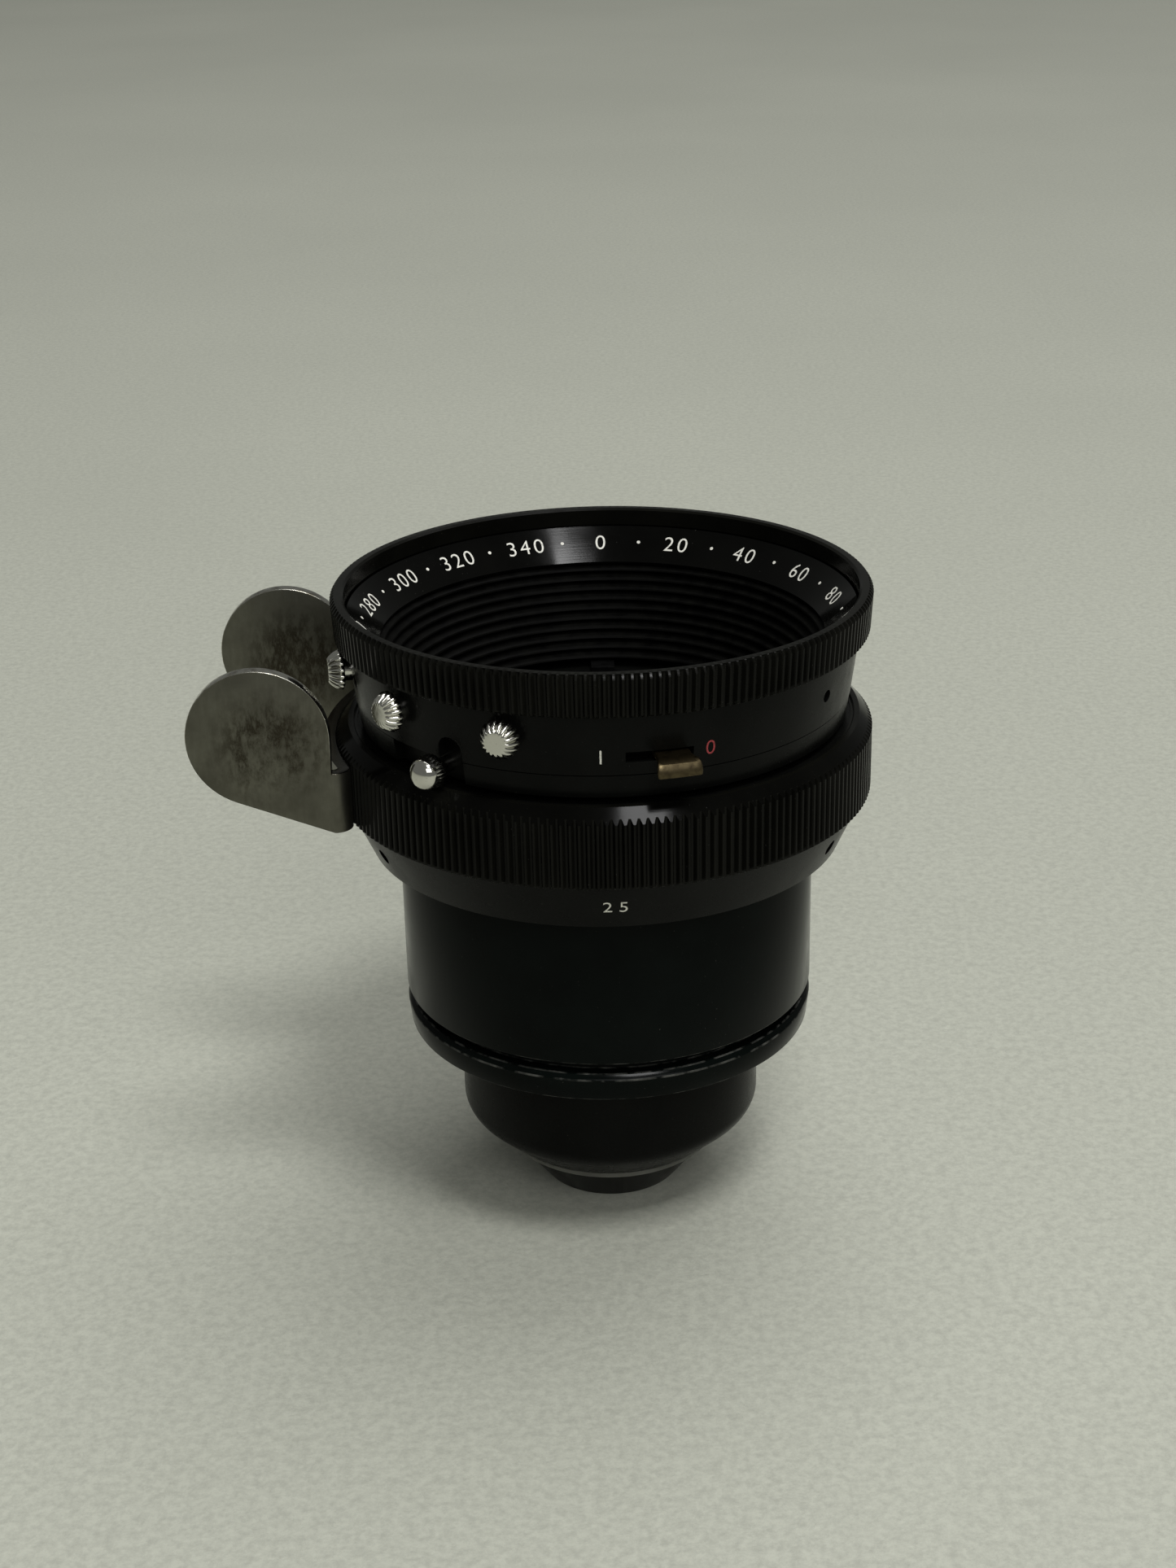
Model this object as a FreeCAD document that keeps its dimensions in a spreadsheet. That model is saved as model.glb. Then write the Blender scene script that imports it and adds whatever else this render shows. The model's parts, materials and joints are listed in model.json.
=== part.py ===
# A 25 mm cine camera lens with finger grips on its focus ring.
# The lens axis is Z and the front of the lens points to +Z. The origin is on the axis at the mount
# seat, the flat shoulder that stops against the camera's socket. Lengths are in millimetres.
# Azimuths are degrees about Z from +X, so -90 is the side with the focal length figure.
import FreeCAD, Part
import Sketcher
import math
import os

doc = FreeCAD.newDocument("cine_lens")
sheet = doc.addObject("Spreadsheet::Sheet", "sizes")
nodes = {}


class Size:
    """A number together with its formula in the sheet, so that sums of sizes stay bound to the cells."""

    def __init__(self, formula, value):
        self.formula = formula
        self.value = float(value)

    def join(self, sign, other, value, swap=False):
        left = self.formula
        right = other.formula if isinstance(other, Size) else repr(other)
        if swap:
            left, right = right, left
        return Size(f"({left} {sign} {right})", value)

    def __add__(self, other):
        return self.join("+", other, self.value + number(other))

    def __radd__(self, other):
        return self.join("+", other, number(other) + self.value, swap=True)

    def __sub__(self, other):
        return self.join("-", other, self.value - number(other))

    def __rsub__(self, other):
        return self.join("-", other, number(other) - self.value, swap=True)

    def __mul__(self, other):
        return self.join("*", other, self.value * number(other))

    def __rmul__(self, other):
        return self.join("*", other, number(other) * self.value, swap=True)

    def __truediv__(self, other):
        return self.join("/", other, self.value / number(other))

    def __neg__(self):
        return Size(f"(-1 * {self.formula})", -self.value)


def number(thing):
    return thing.value if isinstance(thing, Size) else float(thing)


def formula(thing):
    return thing.formula if isinstance(thing, Size) else repr(float(thing))


def wrap(name, function, angle):
    return Size(f"{name}({formula(angle)})", function(math.radians(number(angle))))


def cosine(angle):
    return wrap("cos", math.cos, angle)


def sine(angle):
    return wrap("sin", math.sin, angle)


def arctangent(ratio):
    return Size(f"atan({formula(ratio)}) / 1deg", math.degrees(math.atan(number(ratio))))


def root(thing):
    return Size(f"sqrt({formula(thing)})", math.sqrt(number(thing)))


row = 0


def size(alias, value):
    """Writes one driving dimension into the sheet and hands back its Size."""
    global row
    row += 1
    sheet.set(f"A{row}", alias)
    sheet.set(f"B{row}", str(value))
    sheet.setAlias(f"B{row}", alias)
    return Size(f"sizes.{alias}", value)


# ---- driving dimensions -------------------------------------------------------------------------
run_gap = size("run_gap", 0.05)             # radial gap of a turning or sliding fit
rest_gap = size("rest_gap", 0.1)            # gap beside a part that moves past another
end_gap = size("end_gap", 0.25)             # wider gap where nothing guides

sleeve_radius = size("sleeve_radius", 20.5)
sleeve_length = size("sleeve_length", 15.95)
sleeve_wall = size("sleeve_wall", 2.5)      # wall beside the relief bore
groove_width = size("groove_width", 1.25)
groove_depth = size("groove_depth", 1.6)
lip_height = size("lip_height", 2.7)
lip_draft = size("lip_draft", 0.25)
end_web = size("end_web", 1.7)              # inner web at the sleeve's rear end
land_length = size("land_length", 9.8)      # length of the bore that guides the barrel
neck_wall = size("neck_wall", 1.55)         # neck that the focus ring turns on

cone_height = size("cone_height", 4.7)
cone_step = size("cone_step", 0.9)          # step in the sleeve inside the cone
ledge_width = size("ledge_width", 0.4)      # ledge of the sleeve that the cone sits on
ledge_height = size("ledge_height", 0.3)    # from the mount seat up to that ledge
seat_relief = size("seat_relief", 0.5)      # free corner between the sleeve and the mount seat
seat_width = size("seat_width", 2.8)        # from the sleeve out to the seat's edge
cone_flare = size("cone_flare", 2.1)
cone_screw_radius = size("cone_screw_radius", 0.75)
cone_screw_bite = size("cone_screw_bite", 0.8)
cone_screw_first = size("cone_screw_first", -29.7)
keeper_height = size("keeper_height", 0.85)
keeper_width = size("keeper_width", 1.6)
key_width = size("key_width", 2.3)
key_length = size("key_length", 3.0)
key_depth = size("key_depth", 0.6)
key_margin = size("key_margin", 3.9)        # from the land's rear end up to the keys
key_skin = size("key_skin", 0.3)

focus_radius = size("focus_radius", 26.1)
focus_wall = size("focus_wall", 2.1)
focus_lip = size("focus_lip", 0.6)          # flat top beside the bevelled shoulder
knurl_height = size("knurl_height", 6.45)
shoulder = size("shoulder", 1.25)           # bevel above the knurl
web_height = size("web_height", 1.0)        # inner web that runs on the neck
nut_height = size("nut_height", 4.7)
nut_clearance = size("nut_clearance", 0.7)
focus_travel = size("focus_travel", 2.2)    # how far the barrel moves between its two stops

grip_azimuth = size("grip_azimuth", 180.0)
grip_spread = size("grip_spread", 24.0)     # between the mid planes of the two ears
grip_plate = size("grip_plate", 1.2)
grip_low = size("grip_low", 5.0)
grip_band_height = size("grip_band_height", 6.0)
ear_radius = size("ear_radius", 6.7)
ear_offset = size("ear_offset", 6.0)        # from the focus ring out to the middle of the ear's round
ear_rise = size("ear_rise", 9.6)            # from the ear's lower corner up to that middle
grip_screw_head = size("grip_screw_head", 1.5)
grip_screw_spread = size("grip_screw_spread", 12.0)
grip_screw_skin = size("grip_screw_skin", 0.5)

barrel_radius = size("barrel_radius", 17.0)
barrel_wall = size("barrel_wall", 1.1)
seat_step = size("seat_step", 1.0)          # shoulder in the barrel that the iris sits on
thread_radius = size("thread_radius", 21.65)    # outside of the housing that the nut drives
thread_wall = size("thread_wall", 0.75)
floor_rise = size("floor_rise", 2.1)
floor_height = size("floor_height", 1.2)
band_clearance = size("band_clearance", 0.4)
band_height = size("band_height", 2.15)
band_width = size("band_width", 0.75)       # how far the band stands out from the front tube
band_draft = size("band_draft", 0.3)
tube_step = size("tube_step", 1.2)          # from that thread out to the front tube
tube_wall = size("tube_wall", 0.85)
tube_height = size("tube_height", 5.55)     # front tube above the band
relief_azimuth = size("relief_azimuth", -133.0)
relief_sweep = size("relief_sweep", 22.0)

ring_height = size("ring_height", 5.9)      # plain cone of the aperture ring
ring_wall = size("ring_wall", 1.1)          # from the front tube to the ring's lower edge
ring_flare = size("ring_flare", 0.8)
ring_recess = size("ring_recess", 0.1)      # how deep the set screws sit below the cone's lower edge
ring_screw_first = size("ring_screw_first", -32.8)
ring_screw_step = size("ring_screw_step", -130.4)
ring_screw_level = size("ring_screw_level", 2.95)
spigot_height = size("spigot_height", 0.6)
spigot_wall = size("spigot_wall", 1.3)      # from the front tube to the spigot that holds the rim
rim_height = size("rim_height", 4.15)
rim_wall = size("rim_wall", 1.55)
rim_flare = size("rim_flare", 0.2)
rim_lip = size("rim_lip", 0.45)             # from the spigot to the plain bore for a cap or a filter
rim_relief = size("rim_relief", 0.25)       # wider bore beside the name ring
aperture_range = size("aperture_range", 30.0)   # each way from rest

face_width = size("face_width", 3.0)        # slanted face of the name ring, along the radius
face_seat = size("face_seat", 0.25)
face_bite = size("face_bite", 0.6)          # how far the face starts inside the tube
funnel_slope = size("funnel_slope", 0.5)
rib_depth = size("rib_depth", 0.3)
rib_share = size("rib_share", 0.6)          # part of the pitch between two ribs that a rib's slope takes
baffle_wall = size("baffle_wall", 0.8)      # space between baffle and housing for the iris arm

stud_radius = size("stud_radius", 1.9)
stud_reach = size("stud_reach", 1.85)       # from the ring's upper edge to a stud's face
stud_height = size("stud_height", 1.5)
stud_neck = size("stud_neck", 1.1)
stud_level = size("stud_level", 3.55)
stud_first = size("stud_first", -111.0)
stud_step = size("stud_step", -28.5)
index_radius = size("index_radius", 1.6)
index_neck = size("index_neck", 0.8)
index_reach = size("index_reach", 3.7)      # from the band to the top of the stud's dome
index_height = size("index_height", 2.5)
index_dome = size("index_dome", 0.7)
index_level = size("index_level", 1.3)
index_azimuth = size("index_azimuth", -128.0)
notch_radius = size("notch_radius", 1.3)
notch_level = size("notch_level", 0.95)
notch_azimuth = size("notch_azimuth", -125.0)

lever_azimuth = size("lever_azimuth", -75.8)
lever_sweep = size("lever_sweep", 8.4)
lever_plate = size("lever_plate", 0.6)
lever_offset = size("lever_offset", 2.35)   # from the ring's upper edge to the lever's lip
lever_slack = size("lever_slack", 1.2)      # spare angle at the ends of the lever's slot
lever_lip = size("lever_lip", 1.2)
lever_range = size("lever_range", 5.0)
lever_level = size("lever_level", 1.35)
slot_height = size("slot_height", 1.0)
foot_height = size("foot_height", 2.0)
foot_depth = size("foot_depth", 0.5)

screw_radius = size("screw_radius", 0.6)
driver_width = size("driver_width", 0.25)   # slot across a screw's outer end
driver_depth = size("driver_depth", 0.3)

arm_width = size("arm_width", 2.4)
arm_plate = size("arm_plate", 0.6)
arm_head = size("arm_head", 1.6)
arm_level = size("arm_level", 0.85)
arm_azimuth = size("arm_azimuth", 90.0)
arm_slack = size("arm_slack", 1.5)          # spare angle at the ends of the arm's windows
finger_plate = size("finger_plate", 0.75)

iris_floor = size("iris_floor", -7.4)
iris_floor_height = size("iris_floor_height", 0.8)
iris_opening = size("iris_opening", 7.6)
iris_wall = size("iris_wall", 1.1)
blade_thickness = size("blade_thickness", 0.1)
blade_step = size("blade_step", 0.14)
blade_margin = size("blade_margin", 1.15)   # from a blade's outer edge to its pivot
blade_sweep = size("blade_sweep", 100.0)
pivot_margin = size("pivot_margin", 2.55)   # from the pivots to the barrel's wall
pivot_pin = size("pivot_pin", 0.4)
pivot_ear = size("pivot_ear", 1.0)
drive_pin = size("drive_pin", 0.3)
drive_ear = size("drive_ear", 0.6)
drive_arm = size("drive_arm", 2.0)          # from a blade's pivot to its drive pin
drive_start = size("drive_start", 70.0)     # direction of that arm with the iris wide open
blade_turn = size("blade_turn", 40.0)       # a blade's whole turn over the aperture ring's range
cam_height = size("cam_height", 0.8)
cam_gap = size("cam_gap", 0.1)              # space beside a drive pin in its cam slot
slot_spare = size("slot_spare", 1.0)        # spare turn of the ring at the ends of the cam slots

cell_margin = size("cell_margin", 1.2)      # space round the front cell for the drive arm's finger
cell_wall = size("cell_wall", 1.3)
cell_web = size("cell_web", 0.8)
flange_height = size("flange_height", 0.9)
flange_width = size("flange_width", 0.5)
spacer_wall = size("spacer_wall", 0.9)      # also the flat rim of every lens element
spacer_height = size("spacer_height", 1.6)
front_rim_height = size("front_rim_height", 1.8)
front_ring_height = size("front_ring_height", 2.0)
second_rim = size("second_rim", 1.4)
third_rim = size("third_rim", 2.6)
front_curve = size("front_curve", 40.0)
hollow_curve = size("hollow_curve", 55.0)

rear_step = size("rear_step", 1.8)          # from the barrel in to the cylinder behind the sleeve
rear_length = size("rear_length", 12.25)
rear_wall = size("rear_wall", 1.6)
taper_depth = size("taper_depth", 3.8)      # how far the shell narrows to the tail cell's shelf
taper_height = size("taper_height", 3.5)
spigot_length = size("spigot_length", 7.0)
group_wall = size("group_wall", 2.4)
group_web = size("group_web", 1.2)
group_rise = size("group_rise", 0.8)
fourth_rim = size("fourth_rim", 1.5)
fifth_rim = size("fifth_rim", 4.0)
sixth_rim = size("sixth_rim", 1.6)
group_gap = size("group_gap", 2.4)
group_ring_height = size("group_ring_height", 1.6)
cement_curve = size("cement_curve", 22.0)
group_curve = size("group_curve", 32.0)
shelf_width = size("shelf_width", 1.9)
tail_seat = size("tail_seat", 2.2)
tail_height = size("tail_height", 5.2)
tail_step = size("tail_step", 0.5)
tail_taper = size("tail_taper", 3.8)
tail_wall = size("tail_wall", 3.3)
tail_web = size("tail_web", 0.8)
tail_lip = size("tail_lip", 1.2)
tail_rim = size("tail_rim", 2.2)
tail_ring_height = size("tail_ring_height", 1.4)
tail_curve = size("tail_curve", 16.0)

BLADE_COUNT = 6
STUD_COUNT = 3
RIB_COUNT = 10
PAST = 1.0                                  # how far a cutting tool runs past the metal
doc.recompute()


# ---- ways of making a piece ---------------------------------------------------------------------
def outline(body, role, points):
    """A closed sketch of straight edges whose corners follow the sheet."""
    sketch = body.newObject("Sketcher::SketchObject", body.Name + "_outline")
    plane = [feature for feature in body.Origin.OriginFeatures if feature.Role == role][0]
    sketch.AttachmentSupport = [(plane, "")]
    sketch.MapMode = "FlatFace"
    corners = [FreeCAD.Vector(number(across), number(up), 0) for across, up in points]
    for start, finish in zip(corners, corners[1:] + corners[:1]):
        sketch.addGeometry(Part.LineSegment(start, finish), False)
    for index, point in enumerate(points):
        after = (index + 1) % len(points)
        sketch.addConstraint(Sketcher.Constraint("Coincident", index, 2, after, 1))
        for kind, coordinate in zip(("DistanceX", "DistanceY"), point):
            held = sketch.addConstraint(Sketcher.Constraint(kind, -1, 1, index, 1, number(coordinate)))
            sketch.setExpression(f"Constraints[{held}]", formula(coordinate))
    return sketch


def turned(name, points, sweep=None):
    """A body turned about Z from (radius, height) points, all round or through a sweep about +X."""
    body = doc.addObject("PartDesign::Body", name)
    sketch = outline(body, "XZ_Plane", points)
    turn = body.newObject("PartDesign::Revolution", name + "_turn")
    turn.Profile = sketch
    turn.ReferenceAxis = (sketch, ["V_Axis"])
    turn.Angle = 360
    if sweep is not None:
        turn.Midplane = True
        turn.setExpression("Angle", formula(sweep))
    return body


def plate(name, points, thickness):
    """A flat body with its outline in X and Z, half its thickness each side of that plane."""
    body = doc.addObject("PartDesign::Body", name)
    pad = body.newObject("PartDesign::Pad", name + "_pad")
    pad.Profile = outline(body, "XZ_Plane", points)
    pad.Midplane = True
    pad.setExpression("Length", formula(thickness))
    return body


def tube(name, inner, outer, low, high, sweep=None):
    return turned(name, [(inner, low), (outer, low), (outer, high), (inner, high)], sweep)


def place(thing, position, yaw=0.0, pitch=0.0, roll=0.0):
    """Binds a whole placement to the sheet."""
    spot = "; ".join(formula(coordinate) for coordinate in position)
    turn = f"{formula(yaw)}; {formula(pitch)}; {formula(roll)}"
    thing.setExpression("Placement", f"placement(vector({spot}); rotation({turn}))")
    return thing


def spin(thing, azimuth):
    """Turns a piece about the lens axis."""
    return place(thing, (0.0, 0.0, 0.0), azimuth)


def polar(reach, azimuth, level, aside=0.0):
    """A point at a radius and azimuth, moved aside along the circle's tangent."""
    across = reach * cosine(azimuth) - aside * sine(azimuth)
    along = reach * sine(azimuth) + aside * cosine(azimuth)
    return (across, along, level)


def cylinder(name, radius, height, sweep=None):
    rod = doc.addObject("Part::Cylinder", name)
    rod.setExpression("Radius", formula(radius))
    rod.setExpression("Height", formula(height))
    if sweep is not None:
        rod.setExpression("Angle", formula(sweep))
    return rod


def disc(name, radius, low, high):
    return place(cylinder(name, radius, high - low), (0.0, 0.0, low))


def block(name, sides, reach, azimuth, low):
    """A box that starts at a radius, centred across an azimuth: sides are out, across and up."""
    brick = doc.addObject("Part::Box", name)
    for side, length in zip(("Length", "Width", "Height"), sides):
        brick.setExpression(side, formula(length))
    return place(brick, polar(reach, azimuth, low, -sides[1] / 2.0), azimuth)


def rod(name, radius, start, finish, azimuth, level):
    """A round rod along the radius, from one radius out to another."""
    return place(cylinder(name, radius, finish - start), polar(start, azimuth, level), azimuth, 90.0)


def sector(name, inner, outer, low, high, middle, sweep):
    """A curved block between two radii, centred on an azimuth."""
    return spin(tube(name, inner, outer, low, high, sweep), middle)


def fuse(name, pieces):
    if len(pieces) == 1:
        return pieces[0]
    joined = doc.addObject("Part::MultiFuse", name)
    joined.Shapes = pieces
    return joined


def cut(name, base, tools):
    """Takes tools out of a base, one after another."""
    for index, tool in enumerate(tools):
        taken = doc.addObject("Part::Cut", f"{name}_cut{index}")
        taken.Base = base
        taken.Tool = tool
        base = taken
    return base


def common(name, pieces):
    shared = doc.addObject("Part::MultiCommon", name)
    shared.Shapes = pieces
    return shared


def group(name, pieces):
    together = doc.addObject("Part::Compound", name)
    together.Links = pieces
    return together


def node(name, piece):
    """Names a finished piece, which is the name of its file."""
    piece.Label = name
    nodes[name] = piece
    return piece


def grub_screws(name, azimuths, radius, start, finish, level):
    """Headless screws with a slot across their outer end."""
    screws = []
    for index, azimuth in enumerate(azimuths):
        shank = rod(f"{name}_shank{index}", radius, start, finish, azimuth, level)
        mark = (driver_depth, driver_width, radius * 3.0)
        slot = block(f"{name}_slot{index}", mark, finish - driver_depth / 2.0, azimuth, level - radius * 1.5)
        screws.append(cut(f"{name}{index}", shank, [slot]))
    return node(name, group(name + "_group", screws))


def holes(name, azimuths, radius, start, finish, level):
    return [rod(f"{name}{index}", radius, start, finish, azimuth, level)
            for index, azimuth in enumerate(azimuths)]


def glass(name, radius, low, high, front=None, rear=None):
    """A lens element, flat at its rim between low and high. front and rear are (shape, curvature)."""
    clear = radius - spacer_wall
    metal = [disc(name + "_rim", radius, low, high)]
    hollows = []
    for side, face in (("front", front), ("rear", rear)):
        if face is None:
            continue
        shape, curve = face
        depth = root(curve * curve - clear * clear)
        bulge = curve - depth
        ball = doc.addObject("Part::Sphere", f"{name}_{side}_ball")
        ball.setExpression("Radius", formula(curve))
        above = side == "front"
        edge = high if above else low
        inward = (shape == "convex") == above
        place(ball, (0.0, 0.0, edge - depth if inward else edge + depth))
        if shape == "convex":
            span = (low, high + bulge) if above else (low - bulge, high)
            slug = disc(f"{name}_{side}_slug", clear, span[0], span[1])
            metal.append(common(f"{name}_{side}_cap", [slug, ball]))
        else:
            hollows.append(ball)
    return node(name, cut(name, fuse(name + "_body", metal), hollows))


# ---- heights and radii that several pieces share --------------------------------------------------
lip_top = -(sleeve_length + groove_width)
sleeve_bottom = lip_top - lip_height
cone_bore = sleeve_radius - cone_step
ledge_radius = cone_bore + ledge_width
seat_bore = sleeve_radius + seat_relief
cone_low_radius = sleeve_radius + seat_width
cone_high_radius = cone_low_radius + cone_flare
rear_radius = barrel_radius - rear_step
relief_bore = sleeve_radius - sleeve_wall
end_bore = rear_radius + end_gap
barrel_bore = barrel_radius + run_gap
neck_radius = barrel_bore + neck_wall
focus_low = cone_height + rest_gap
web_top = focus_low + web_height
keeper_low = web_top + rest_gap
keeper_top = keeper_low + keeper_height
land_low = keeper_top - land_length
knurl_top = focus_low + knurl_height
focus_top = knurl_top + shoulder
focus_bore = focus_radius - focus_wall
focus_mouth = focus_radius - shoulder - focus_lip
ear_reach = focus_radius + ear_offset
nut_low = keeper_top + nut_clearance
nut_top = nut_low + nut_height
housing_low = keeper_top + 2.0 * rest_gap
floor_low = housing_low + floor_rise
barrel_top = floor_low + floor_height
barrel_low = sleeve_bottom + end_web + end_gap
barrel_inner = barrel_radius - barrel_wall
band_low = focus_top + band_clearance
band_top = band_low + band_height
tube_radius = thread_radius + tube_step
tube_bore = tube_radius - tube_wall
band_radius = tube_radius + band_width
tube_top = band_top + tube_height
step_radius = thread_radius - thread_wall
ring_low = band_top + rest_gap
ring_top = ring_low + ring_height
ring_bore = tube_radius + run_gap
ring_low_radius = tube_radius + ring_wall
ring_high_radius = ring_low_radius + ring_flare
spigot_radius = tube_radius + spigot_wall
rim_bore = spigot_radius + rim_lip
rim_low_radius = spigot_radius + rim_wall
rim_radius = rim_low_radius + rim_flare
stud_face = ring_high_radius + stud_reach
index_face = band_radius + index_reach
lever_reach = ring_high_radius + lever_offset
spigot_top = ring_top + spigot_height
rim_top = ring_top + rim_height
face_low = tube_top - face_seat
face_inner = tube_bore - face_bite
rear_low = barrel_low - rear_length
taper_radius = rear_radius - taper_depth
tail_bore = taper_radius - shelf_width
tail_top_radius = taper_radius - tail_step
tail_end_radius = tail_top_radius - tail_taper
tail_glass = tail_bore - tail_wall
tail_opening = tail_glass - tail_web
cell_radius = barrel_inner - cell_margin
pivot_circle = barrel_inner - pivot_margin
blade_outer = pivot_circle - blade_margin
key_low = land_low + key_margin
key_middle = key_low + key_length / 2.0
key_face = barrel_radius - key_depth
key_back = neck_radius - key_skin
KEYS = (0.0, 180.0)
CONE_SCREWS = [cone_screw_first + 120.0 * turn for turn in range(3)]
RING_SCREWS = [ring_screw_first + ring_screw_step * float(turn) for turn in range(3)]
STUDS = [stud_first + stud_step * float(turn) for turn in range(STUD_COUNT)]

# The arm from the aperture ring to the iris goes in through the front tube, down behind the baffle,
# in again over the barrel's floor and down beside the front cell.
arm_low = ring_low + arm_level
arm_top = arm_low + arm_head
strip_outer = tube_bore - rest_gap
strip_inner = strip_outer - arm_plate
jog_low = band_low + 2.0 * rest_gap
jog_top = jog_low + arm_plate
well_outer = step_radius - rest_gap
well_inner = well_outer - arm_plate
bar_low = barrel_top + rest_gap
bar_top = bar_low + arm_plate
finger_inner = cell_radius + end_gap
finger_outer = finger_inner + finger_plate
arm_sweep = 2.0 * (aperture_range + arctangent(arm_width / 2.0 / cell_radius) + arm_slack)

# The iris is a stack: floor, blades one above another, cam ring, then the front cell that keeps it.
blade_low = iris_floor + iris_floor_height + rest_gap
cam_low = blade_low + blade_step * float(BLADE_COUNT) + rest_gap
cam_top = cam_low + cam_height
cell_low = cam_top + rest_gap
iris_ratio = blade_turn / (2.0 * aperture_range)


# ---- mount: the fixed body of the lens ------------------------------------------------------------
def make_mount():
    sleeve = turned("sleeve", [
        (end_bore, sleeve_bottom),
        (sleeve_radius - lip_draft, sleeve_bottom),
        (sleeve_radius, lip_top),
        (sleeve_radius - groove_depth, lip_top),
        (sleeve_radius - groove_depth, -sleeve_length),
        (sleeve_radius, -sleeve_length),
        (sleeve_radius, 0.0),
        (ledge_radius, 0.0),
        (ledge_radius, ledge_height),
        (cone_bore, ledge_height),
        (cone_bore, cone_height),
        (neck_radius, cone_height),
        (neck_radius, keeper_top),
        (barrel_bore, keeper_top),
        (barrel_bore, land_low),
        (relief_bore, land_low),
        (relief_bore, sleeve_bottom + end_web),
        (end_bore, sleeve_bottom + end_web),
    ])
    seats = []
    keys = []
    for index, azimuth in enumerate(KEYS):
        seat = (key_back - barrel_radius, key_width, key_length)
        seats.append(block(f"key_seat{index}", seat, barrel_radius, azimuth, key_low))
        sides = (key_back - key_face, key_width, key_length)
        blank = block(f"key_blank{index}", sides, key_face, azimuth, key_low)
        screw_end = key_face + key_skin
        hole = rod(f"key_hole{index}", screw_radius, screw_end, key_back + PAST, azimuth, key_middle)
        keys.append(cut(f"key{index}", blank, [hole]))
    ways = holes("key_way", KEYS, screw_radius, barrel_radius, sleeve_radius + PAST, key_middle)
    bites = holes("cone_bite", CONE_SCREWS, cone_screw_radius, cone_bore - cone_screw_bite,
                  sleeve_radius + PAST, cone_height / 2.0)
    node("mount_sleeve", cut("mount_sleeve", sleeve, seats + ways + bites))
    node("guide_keys", group("key_pair", keys))
    grub_screws("guide_key_screws", KEYS, screw_radius, key_face + key_skin, cone_bore - rest_gap, key_middle)

    cone = turned("cone", [
        (seat_bore, 0.0),
        (cone_low_radius, 0.0),
        (cone_high_radius, cone_height),
        (cone_bore, cone_height),
        (cone_bore, ledge_height),
        (seat_bore, ledge_height),
    ])
    drilled = holes("cone_hole", CONE_SCREWS, cone_screw_radius, cone_bore - PAST, cone_high_radius + PAST,
                    cone_height / 2.0)
    node("index_cone", cut("index_cone", cone, drilled))
    grub_screws("index_cone_screws", CONE_SCREWS, cone_screw_radius, cone_bore - cone_screw_bite,
                cone_low_radius, cone_height / 2.0)
    node("focus_keeper_ring", tube("keeper", neck_radius, neck_radius + keeper_width, keeper_low, keeper_top))


# ---- focus ring, its nut and its finger grips ------------------------------------------------------
def make_focus():
    ring = turned("focus_blank", [
        (neck_radius + run_gap, focus_low),
        (focus_radius, focus_low),
        (focus_radius, knurl_top),
        (focus_radius - shoulder, focus_top),
        (focus_mouth, focus_top),
        (focus_mouth, nut_top + rest_gap),
        (focus_bore, nut_top + rest_gap),
        (focus_bore, web_top),
        (neck_radius + run_gap, web_top),
    ])
    grip_middle = grip_low + grip_band_height / 2.0
    screws = (grip_azimuth - grip_screw_spread, grip_azimuth + grip_screw_spread)
    band_outer = focus_radius + grip_plate
    bite = focus_bore + grip_screw_skin
    ways = holes("grip_way", screws, screw_radius, bite, band_outer + PAST, grip_middle)
    node("focus_ring", cut("focus_ring", ring, ways))
    node("helicoid_nut", tube("nut", thread_radius + run_gap, focus_bore, nut_low, nut_top))

    half = grip_spread / 2.0
    corner = ear_reach - ear_radius
    level = grip_low + ear_rise
    lean = 2.0 * arctangent(ear_radius / ear_rise)
    foot = root(focus_radius * focus_radius - half * half)
    metal = []
    for index, side in enumerate((-1.0, 1.0)):
        kite = plate(f"ear_kite{index}", [
            (corner, grip_low),
            (corner + ear_rise * sine(lean), grip_low + ear_rise * cosine(lean)),
            (ear_reach, level),
            (corner, level),
        ], grip_plate)
        metal.append(place(kite, (0.0, side * half, 0.0)))
        round_part = cylinder(f"ear_round{index}", ear_radius, grip_plate)
        spot = (ear_reach, side * half + grip_plate / 2.0, level)
        metal.append(place(round_part, spot, roll=90.0))
        leg = doc.addObject("Part::Box", f"ear_leg{index}")
        leg.setExpression("Length", formula(corner + grip_plate - foot))
        leg.setExpression("Width", formula(grip_plate))
        leg.setExpression("Height", formula(grip_band_height))
        metal.append(place(leg, (foot, side * half - grip_plate / 2.0, grip_low)))
    spread = 2.0 * arctangent(half / foot)
    metal.append(tube("grip_band", focus_radius, band_outer, grip_low, grip_low + grip_band_height, spread))
    bent = spin(fuse("grip_bent", metal), grip_azimuth)
    inside = disc("grip_inside", focus_radius, grip_low - PAST, grip_low + grip_band_height + PAST)
    drilled = holes("grip_hole", screws, screw_radius, focus_radius - PAST, band_outer + PAST, grip_middle)
    node("finger_grip", cut("finger_grip", bent, [inside] + drilled))
    pieces = []
    for index, azimuth in enumerate(screws):
        shank = rod(f"grip_shank{index}", screw_radius, bite, band_outer + rest_gap, azimuth, grip_middle)
        head = rod(f"grip_head{index}", grip_screw_head, band_outer, band_outer + grip_plate / 2.0, azimuth,
                   grip_middle)
        pieces.append(fuse(f"grip_screw{index}", [shank, head]))
    node("grip_screws", group("grip_screw_pair", pieces))


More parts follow.
